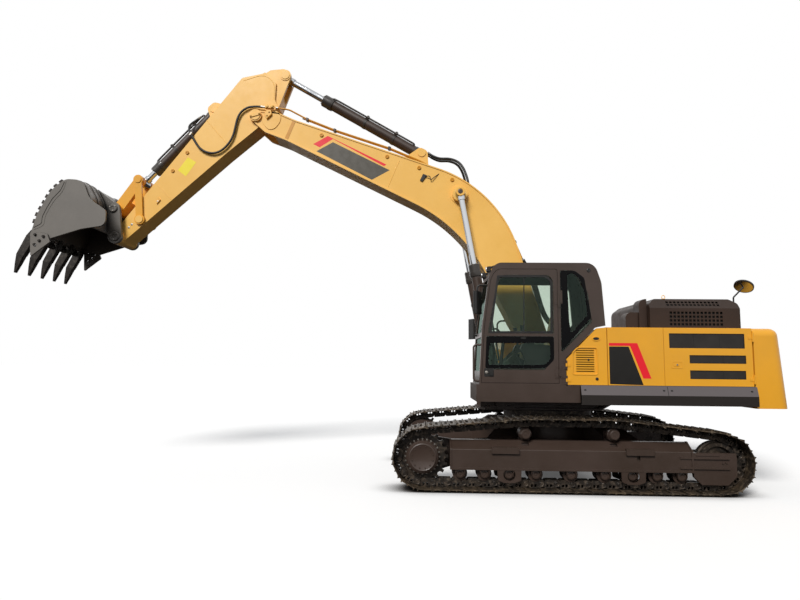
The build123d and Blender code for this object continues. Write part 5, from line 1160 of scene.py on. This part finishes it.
def build_bucket_trim(side, tag):
    """Weld seam, edge plate, pin caps and bolts on one side of the bucket."""
    out = facing(side)
    with piece(f"bucket_seams_{tag}", "bucket", "bucket") as bm:
        place = from_face(on_bucket, BUCKET_SIDE, side)
        seam = [place(a, b, 0.5) for a, b in ((621, 809), (659, 644), (785, 506), (870, 356),
                                              (928, 219), (932, 83), (1090, 15))]
        add_tube(bm, bent(seam, 90), 4, 8)
        edge = rounded([(640, 812), (700, 660), (826, 520), (905, 372), (968, 226), (974, 112),
                        (1112, 40), (1042, 250), (850, 640), (720, 780)], 30)
        add_plate(bm, place, [edge], AIR, 8, 2)
    with piece(f"cutter_bolts_{tag}", "tooth", "bucket") as bm:
        add_bolts(bm, from_face(on_bucket, CUTTER_SIDE, side),
                  ((1043, -75), (907, -103), (969, -172), (1043, -234)), AIR, out, 40)
    place = from_face(on_bucket, BUCKET_EAR_SIDE, side)
    with piece(f"bucket_pin_caps_{tag}", "bucket", "bucket") as bm:
        for (a, b), radius in (((0, 0), 80), (LINK_PIN, 70)):
            add_turned(bm, place(a, b, AIR), out,
                       ((0, radius), (8, radius), (14, radius - 8), (14, 30), (6, 26), (6, 0)), 32)
    with piece(f"bucket_pin_bolts_{tag}", "bolt", "bucket") as bm:
        for (a, b), radius in (((0, 0), 54), (LINK_PIN, 48)):
            add_bolts(bm, place, ring_line(a, b, radius, 3, 0.4), 14.4, out, 16)


def build_lip_guards():
    """Cast guards over the bucket's lip, between its teeth."""
    with piece("lip_guards", "tooth", "bucket") as bm:
        for y in (-510, -170, 170, 510):
            add_plate(bm, from_face(on_bucket, y),
                      [rounded([(1108, 60), (1176, 26), (1200, -120), (1168, -190), (1118, -170),
                                (1150, -80)], 12)], -72, 72, 5)


# Seat ----------------------------------------------------------------------------------------

SEAT_Y = 1005
SEAT_PADS = (
    # name, place of its middle (x, z), size (x, z, y), turn, how much it puffs
    ("seat_pad", (350, 1866), (470, 96, 440), 0, 14),
    ("back_pad", (100, 2212), (86, 520, 420), -13, 14),
    ("head_pad", (28, 2588), (48, 150, 230), -9, 8))


def pad_place(centre, turn):
    """A function from (x, z, y) about a pad's middle to a point, for a pad leaned by turn."""
    c, s = math.cos(math.radians(turn)), math.sin(math.radians(turn))
    return lambda x, z, y: on_machine(centre[0] + x * c + z * s, centre[1] - x * s + z * c,
                                      SEAT_Y + y)


def pad_shape(name, place, size):
    """A rounded block cut in a grid, ready to puff up."""
    bm = bmesh.new()
    bmesh.ops.create_cube(bm, size=1.0)
    bmesh.ops.subdivide_edges(bm, edges=bm.edges, cuts=11, use_grid_fill=True)
    for vert in bm.verts:
        u, v, w = (2 * part for part in vert.co)
        pull = 1 - 0.05 * (u * u * v * v + v * v * w * w + w * w * u * u)
        round_off = (abs(u) ** 6 + abs(v) ** 6 + abs(w) ** 6) ** (1 / 6)
        vert.co = place(*(part * pull / max(1.0, round_off) * length / 2
                          for part, length in zip((u, w, v), size)))
    mesh = bpy.data.meshes.new(name)
    bm.to_mesh(mesh)
    bm.free()
    item = bpy.data.objects.new(name, mesh)
    bpy.context.scene.collection.objects.link(item)
    return item


def puff(item, limit):
    """Swells the pad as stuffed cloth: pressure inside, and no point moves past the limit."""
    bpy.context.view_layer.objects.active = item
    remesh = item.modifiers.new("remesh", "REMESH")
    remesh.mode, remesh.voxel_size = "VOXEL", 8 * MM
    bpy.ops.object.modifier_apply(modifier=remesh.name)
    start = [vert.co.copy() for vert in item.data.vertices]
    cloth = item.modifiers.new("cloth", "CLOTH")
    cloth.settings.use_pressure, cloth.settings.uniform_pressure_force = True, 4.0
    cloth.settings.effector_weights.gravity = 0.0
    scene = bpy.context.scene
    for step in range(1, 21):
        scene.frame_set(step)
    swollen = item.evaluated_get(bpy.context.evaluated_depsgraph_get())
    ends = [vert.co.copy() for vert in swollen.data.vertices]
    item.modifiers.remove(cloth)
    scene.frame_set(1)
    for vert, here, end in zip(item.data.vertices, start, ends):
        shift = end - here
        vert.co = here + shift * min(1.0, limit * MM / max(shift.length, 1e-9))


def build_seat():
    """Three sewn pads of cloth, each with its seam."""
    for name, centre, size, turn, limit in SEAT_PADS:
        place = pad_place(centre, turn)
        item = pad_shape(name, place, size)
        puff(item, limit)
        smooth = item.modifiers.new("smooth", "SUBSURF")
        smooth.levels = smooth.render_levels = 1
        item.data.shade_smooth()
        item.data.materials.append(finishes()["cloth"])
        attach(item, "upper")
        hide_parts("seat_cushions")
        with piece(f"{name}_seam", "cloth", "upper") as bm:
            deep, tall, wide = size
            upright = deep < tall
            loop = rounded(box_line(0, 0, tall if upright else deep, wide), 40, 5)
            add_tube(bm, [place(0.45 * deep, p.x, p.y) if upright else place(p.x, 0.45 * tall, p.y)
                          for p in [*loop, loop[0]]], 5, 8)


# Stage ---------------------------------------------------------------------------------------

def paint_frame():
    """Gives every shown node of the frame its finish by the slot that it carries."""
    f = finishes()
    by_slot = {
        "yellow_paint": f["amber"], "dark_paint": f["umber"], "cover_paint": f["cover"],
        "track_steel": f["chain"], "machined_steel": f["pin"], "chrome_rod": f["chrome"],
        "tinted_glass": f["glass"], "seat_fabric": f["cloth"], "cab_plastic": f["plastic"],
        "mirror_body": f["plastic"]}
    for name, node in frame["nodes"].items():
        for index, entry in enumerate(node.material_slots):
            key = entry.material.name.split(".")[0] if entry.material else None
            finish = NODE_FINISH.get(name) or by_slot.get(key)
            if finish is None:
                raise ValueError(f"no finish for {name} with material {key}")
            node.material_slots[index].material = f[finish] if isinstance(finish, str) else finish


NODE_FINISH = {
    "boom": "boom_amber", "arm": "boom_amber", "arm_pins": "boom_amber", "boom_pins": "boom_amber",
    "bucket": "bucket", "side_cutters": "bucket", "wear_blocks": "tooth", "bucket_teeth": "tooth",
    "catwalks": "walkway"}


def white_world(level):
    """White where the camera, a mirror or glass shows it, and a plain pale light for the rest."""
    world = bpy.data.worlds.new("white_room")
    bpy.context.scene.world = world
    world.use_nodes = True
    tree = world.node_tree
    tree.nodes.clear()
    path = add_node(tree, "ShaderNodeLightPath")
    shown = path.outputs["Is Camera Ray"]
    for kind in ("Is Glossy Ray", "Is Transmission Ray"):
        shown = add_node(tree, "ShaderNodeMath", {0: shown, 1: path.outputs[kind]},
                         operation="MAXIMUM").outputs[0]
    lit = add_node(tree, "ShaderNodeBackground", {"Color": (0.93, 0.96, 1.0, 1.0),
                                                  "Strength": level})
    seen = add_node(tree, "ShaderNodeBackground", {"Color": (1.0, 1.0, 1.0, 1.0)})
    mix = add_node(tree, "ShaderNodeMixShader", {0: shown, 1: lit, 2: seen})
    add_node(tree, "ShaderNodeOutputWorld", {"Surface": mix})


def soft_sun(name, toward, spread, strength, warmth):
    """A broad even light from far away, from the side that it names."""
    data = bpy.data.lights.new(name, "SUN")
    data.angle, data.energy, data.color = math.radians(spread), strength, warmth
    lamp = bpy.data.objects.new(name, data)
    bpy.context.scene.collection.objects.link(lamp)
    lamp.rotation_euler = Vector(toward).to_track_quat("Z", "Y").to_euler()


def set_camera():
    data = bpy.data.cameras.new("camera")
    data.sensor_width, data.lens, data.sensor_fit = 36.0, 26.82, "HORIZONTAL"
    data.dof.use_dof = False
    camera = bpy.data.objects.new("camera", data)
    bpy.context.scene.collection.objects.link(camera)
    yaw, pitch, roll = math.radians(1.91), math.radians(6.13), math.radians(0.53)
    turn = Matrix.Rotation(yaw, 3, "Z")
    ahead, right, up = turn @ Vector((0, -1, 0)), turn @ Vector((-1, 0, 0)), Vector((0, 0, 1))
    ahead, up = (ahead * math.cos(pitch) + up * math.sin(pitch),
                 up * math.cos(pitch) - ahead * math.sin(pitch))
    right, up = (right * math.cos(roll) + up * math.sin(roll),
                 up * math.cos(roll) - right * math.sin(roll))
    camera.matrix_world = Matrix.LocRotScale(
        Vector((-0.54, 9.91, 1.73)), Matrix((right, up, -ahead)).transposed(), None)
    bpy.context.scene.camera = camera


def set_stage():
    look = bpy.context.scene.excavator_paint
    set_camera()
    bpy.context.scene.view_settings.view_transform = "Standard"
    white_world(look.sky_level)
    soft_sun("key_light", (0.3, 0.75, 0.6), 20, look.key_level, (1.0, 0.985, 0.96))
    bpy.ops.mesh.primitive_plane_add(size=400.0, location=(0, 0, -0.001))
    floor = bpy.context.object
    floor.name = "floor"
    floor.data.materials.append(pale_floor())


def pale_floor():
    """Matt painted floor: white to the camera, with the object's shadow on it and darker under it as
    painted shade from ambient occlusion, and dark to the light that would bounce on to the object's
    underside."""
    material, tree, point = blank_material("pale_floor")
    cloud = add_node(tree, "ShaderNodeTexNoise", {"Vector": point, "Scale": per_mm(3000),
                                                  "Detail": 2.0})
    tone = add_node(tree, "ShaderNodeMix", {0: cloud, 6: linear("F4F4F4"), 7: linear("F8F8F8")},
                    data_type="RGBA")
    matt = add_node(tree, "ShaderNodeBsdfDiffuse", {"Color": tone.outputs[2]})
    glow = add_node(tree, "ShaderNodeEmission", {"Color": (1.0, 1.0, 1.0, 1.0),
                                                 "Strength": 0.2})
    both = add_node(tree, "ShaderNodeAddShader", {0: matt, 1: glow})
    dull = add_node(tree, "ShaderNodeBsdfDiffuse", {"Color": linear("4A4643")})
    # Painted shade: the floor is mixed towards the dark diffuse where ambient occlusion finds the
    # object near above it.
    contact_shade_ao = add_node(tree, "ShaderNodeAmbientOcclusion", {"Distance": 650 * MM})
    clear = add_node(tree, "ShaderNodeMapRange", {"Value": contact_shade_ao.outputs["AO"],
                                                  "From Min": 0.3, "From Max": 0.85})
    lit = add_node(tree, "ShaderNodeMixShader", {0: clear, 1: dull, 2: both})
    seen = add_node(tree, "ShaderNodeLightPath").outputs["Is Camera Ray"]
    mix = add_node(tree, "ShaderNodeMixShader", {0: seen, 1: dull, 2: lit})
    add_node(tree, "ShaderNodeOutputMaterial", {"Surface": mix})
    return material


# Add-on --------------------------------------------------------------------------------------

class ExcavatorPaint(bpy.types.PropertyGroup):
    main_colour: FloatVectorProperty(
        name="Main paint", description="Colour of the house and cover paint", subtype="COLOR",
        size=3, min=0.0, max=1.0, default=(0.918, 0.651, 0.165))
    dark_colour: FloatVectorProperty(
        name="Second paint", description="Colour of the cab and chassis paint", subtype="COLOR",
        size=3, min=0.0, max=1.0, default=(0.227, 0.180, 0.153))
    key_level: FloatProperty(name="Key light", description="Strength of the main lamp",
                             default=3.0, min=0.0)
    sky_level: FloatProperty(name="Sky level", description="Strength of the light all round",
                             default=0.35, min=0.0)

    def code(self, colour):
        return "".join(f"{round(part * 255):02X}" for part in colour)

    def main_code(self):
        return self.code(self.main_colour)

    def dark_code(self):
        return self.code(self.dark_colour)


class EXCAVATOR_OT_stage(bpy.types.Operator):
    """Sets the camera, light, floor and white room"""
    bl_idname = "excavator.stage"
    bl_label = "Stage"

    def execute(self, context):
        set_stage()
        return {"FINISHED"}


class EXCAVATOR_OT_paint(bpy.types.Operator):
    """Gives the nodes of the frame their finishes"""
    bl_idname = "excavator.paint"
    bl_label = "Paint"

    def execute(self, context):
        paint_frame()
        return {"FINISHED"}


class EXCAVATOR_OT_tracks(bpy.types.Operator):
    """Builds both tracks from shoes, links, pins and bolts"""
    bl_idname = "excavator.tracks"
    bl_label = "Tracks"

    def execute(self, context):
        for side, tag in SIDES:
            build_track(side, tag)
        return {"FINISHED"}


class EXCAVATOR_OT_wheels(bpy.types.Operator):
    """Adds hub covers, sprocket bolts and roller caps"""
    bl_idname = "excavator.wheels"
    bl_label = "Wheels"

    def execute(self, context):
        for side, tag in SIDES:
            build_wheels(side, tag)
        return {"FINISHED"}


class EXCAVATOR_OT_frame_trim(bpy.types.Operator):
    """Adds ribs and bolts to the track frames"""
    bl_idname = "excavator.frame_trim"
    bl_label = "Frame trim"

    def execute(self, context):
        for side, tag in SIDES:
            build_frame_trim(side, tag)
        return {"FINISHED"}


class EXCAVATOR_OT_house(bpy.types.Operator):
    """Adds films, mesh, rims and locks to the house's panels"""
    bl_idname = "excavator.house"
    bl_label = "House trim"

    def execute(self, context):
        build_house_trim()
        return {"FINISHED"}


class EXCAVATOR_OT_catwalks(bpy.types.Operator):
    """Adds bolts and tread strips to the walkways"""
    bl_idname = "excavator.catwalks"
    bl_label = "Walkway trim"

    def execute(self, context):
        build_catwalk_trim()
        return {"FINISHED"}


class EXCAVATOR_OT_cover(bpy.types.Operator):
    """Adds bolts, a lifting ring, painted shade sheets behind the grilles and the mirror's glass to the
    engine cover
    """
    bl_idname = "excavator.cover"
    bl_label = "Cover trim"

    def execute(self, context):
        build_cover_trim()
        return {"FINISHED"}


class EXCAVATOR_OT_cab(bpy.types.Operator):
    """Adds seals, borders, fittings, hinge plates, lamps and a wiper to the cab"""
    bl_idname = "excavator.cab"
    bl_label = "Cab trim"

    def execute(self, context):
        build_cab_glazing()
        build_cab_fittings()
        return {"FINISHED"}


class EXCAVATOR_OT_seat(bpy.types.Operator):
    """Replaces the seat's cushions by sewn pads"""
    bl_idname = "excavator.seat"
    bl_label = "Seat"

    def execute(self, context):
        build_seat()
        return {"FINISHED"}


class EXCAVATOR_OT_boom_pipes(bpy.types.Operator):
    """Adds the steel pipes along the boom and their clamps"""
    bl_idname = "excavator.boom_pipes"
    bl_label = "Boom pipes"

    def execute(self, context):
        build_boom_pipes()
        return {"FINISHED"}


class EXCAVATOR_OT_boom_trim(bpy.types.Operator):
    """Adds films, plates, bosses, a bracket, the valve block and hoses to the boom"""
    bl_idname = "excavator.boom_trim"
    bl_label = "Boom trim"

    def execute(self, context):
        build_boom_films()
        for side, tag in SIDES:
            build_boom_trim(side, tag)
        build_boom_bracket()
        build_valve_block()
        build_boom_hoses()
        return {"FINISHED"}


class EXCAVATOR_OT_arm_hoses(bpy.types.Operator):
    """Adds the hoses that bend over the elbow and along the arm"""
    bl_idname = "excavator.arm_hoses"
    bl_label = "Arm hoses"

    def execute(self, context):
        build_arm_hoses()
        return {"FINISHED"}


class EXCAVATOR_OT_arm_trim(bpy.types.Operator):
    """Adds a label, bosses, welds, bolts and tail plates to the arm"""
    bl_idname = "excavator.arm_trim"
    bl_label = "Arm trim"

    def execute(self, context):
        build_arm_label()
        for side, tag in SIDES:
            build_arm_trim(side, tag)
        build_arm_tail()
        return {"FINISHED"}


class EXCAVATOR_OT_cylinders(bpy.types.Operator):
    """Adds glands, collars, oil pipes, bolts and wipers to the cylinders"""
    bl_idname = "excavator.cylinders"
    bl_label = "Cylinders"

    def execute(self, context):
        for row in CYLINDERS:
            build_cylinder(*row)
        for side, tag in SIDES:
            build_boom_eyes(side, tag)
        return {"FINISHED"}


class EXCAVATOR_OT_bucket(bpy.types.Operator):
    """Adds seams, bolts, pin caps and lip guards to the bucket"""
    bl_idname = "excavator.bucket"
    bl_label = "Bucket trim"

    def execute(self, context):
        for side, tag in SIDES:
            build_bucket_trim(side, tag)
        build_lip_guards()
        return {"FINISHED"}


OPERATORS = [
    EXCAVATOR_OT_stage, EXCAVATOR_OT_paint, EXCAVATOR_OT_tracks, EXCAVATOR_OT_wheels,
    EXCAVATOR_OT_frame_trim, EXCAVATOR_OT_house, EXCAVATOR_OT_catwalks, EXCAVATOR_OT_cover,
    EXCAVATOR_OT_cab, EXCAVATOR_OT_seat, EXCAVATOR_OT_boom_pipes, EXCAVATOR_OT_boom_trim,
    EXCAVATOR_OT_arm_hoses, EXCAVATOR_OT_arm_trim, EXCAVATOR_OT_cylinders, EXCAVATOR_OT_bucket]


class EXCAVATOR_PT_panel(bpy.types.Panel):
    bl_label = "Excavator"
    bl_idname = "EXCAVATOR_PT_panel"
    bl_space_type = "VIEW_3D"
    bl_region_type = "UI"
    bl_category = "Excavator"

    def draw(self, context):
        for name in ExcavatorPaint.__annotations__:
            self.layout.prop(context.scene.excavator_paint, name)
        for kind in OPERATORS:
            self.layout.operator(kind.bl_idname)


CLASSES = [ExcavatorPaint, *OPERATORS, EXCAVATOR_PT_panel]


def register():
    for kind in CLASSES:
        bpy.utils.register_class(kind)
    bpy.types.Scene.excavator_paint = PointerProperty(type=ExcavatorPaint)


def unregister():
    del bpy.types.Scene.excavator_paint
    for kind in reversed(CLASSES):
        bpy.utils.unregister_class(kind)


def main():
    register()
    bpy.ops.excavator.stage()
    bpy.ops.excavator.paint()
    bpy.ops.excavator.tracks()
    bpy.ops.excavator.wheels()
    bpy.ops.excavator.frame_trim()
    bpy.ops.excavator.house()
    bpy.ops.excavator.catwalks()
    bpy.ops.excavator.cover()
    bpy.ops.excavator.cab()
    bpy.ops.excavator.seat()
    bpy.ops.excavator.boom_pipes()
    bpy.ops.excavator.boom_trim()
    bpy.ops.excavator.arm_hoses()
    bpy.ops.excavator.arm_trim()
    bpy.ops.excavator.cylinders()
    bpy.ops.excavator.bucket()
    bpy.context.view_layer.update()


if __name__ == "__main__":
    main()
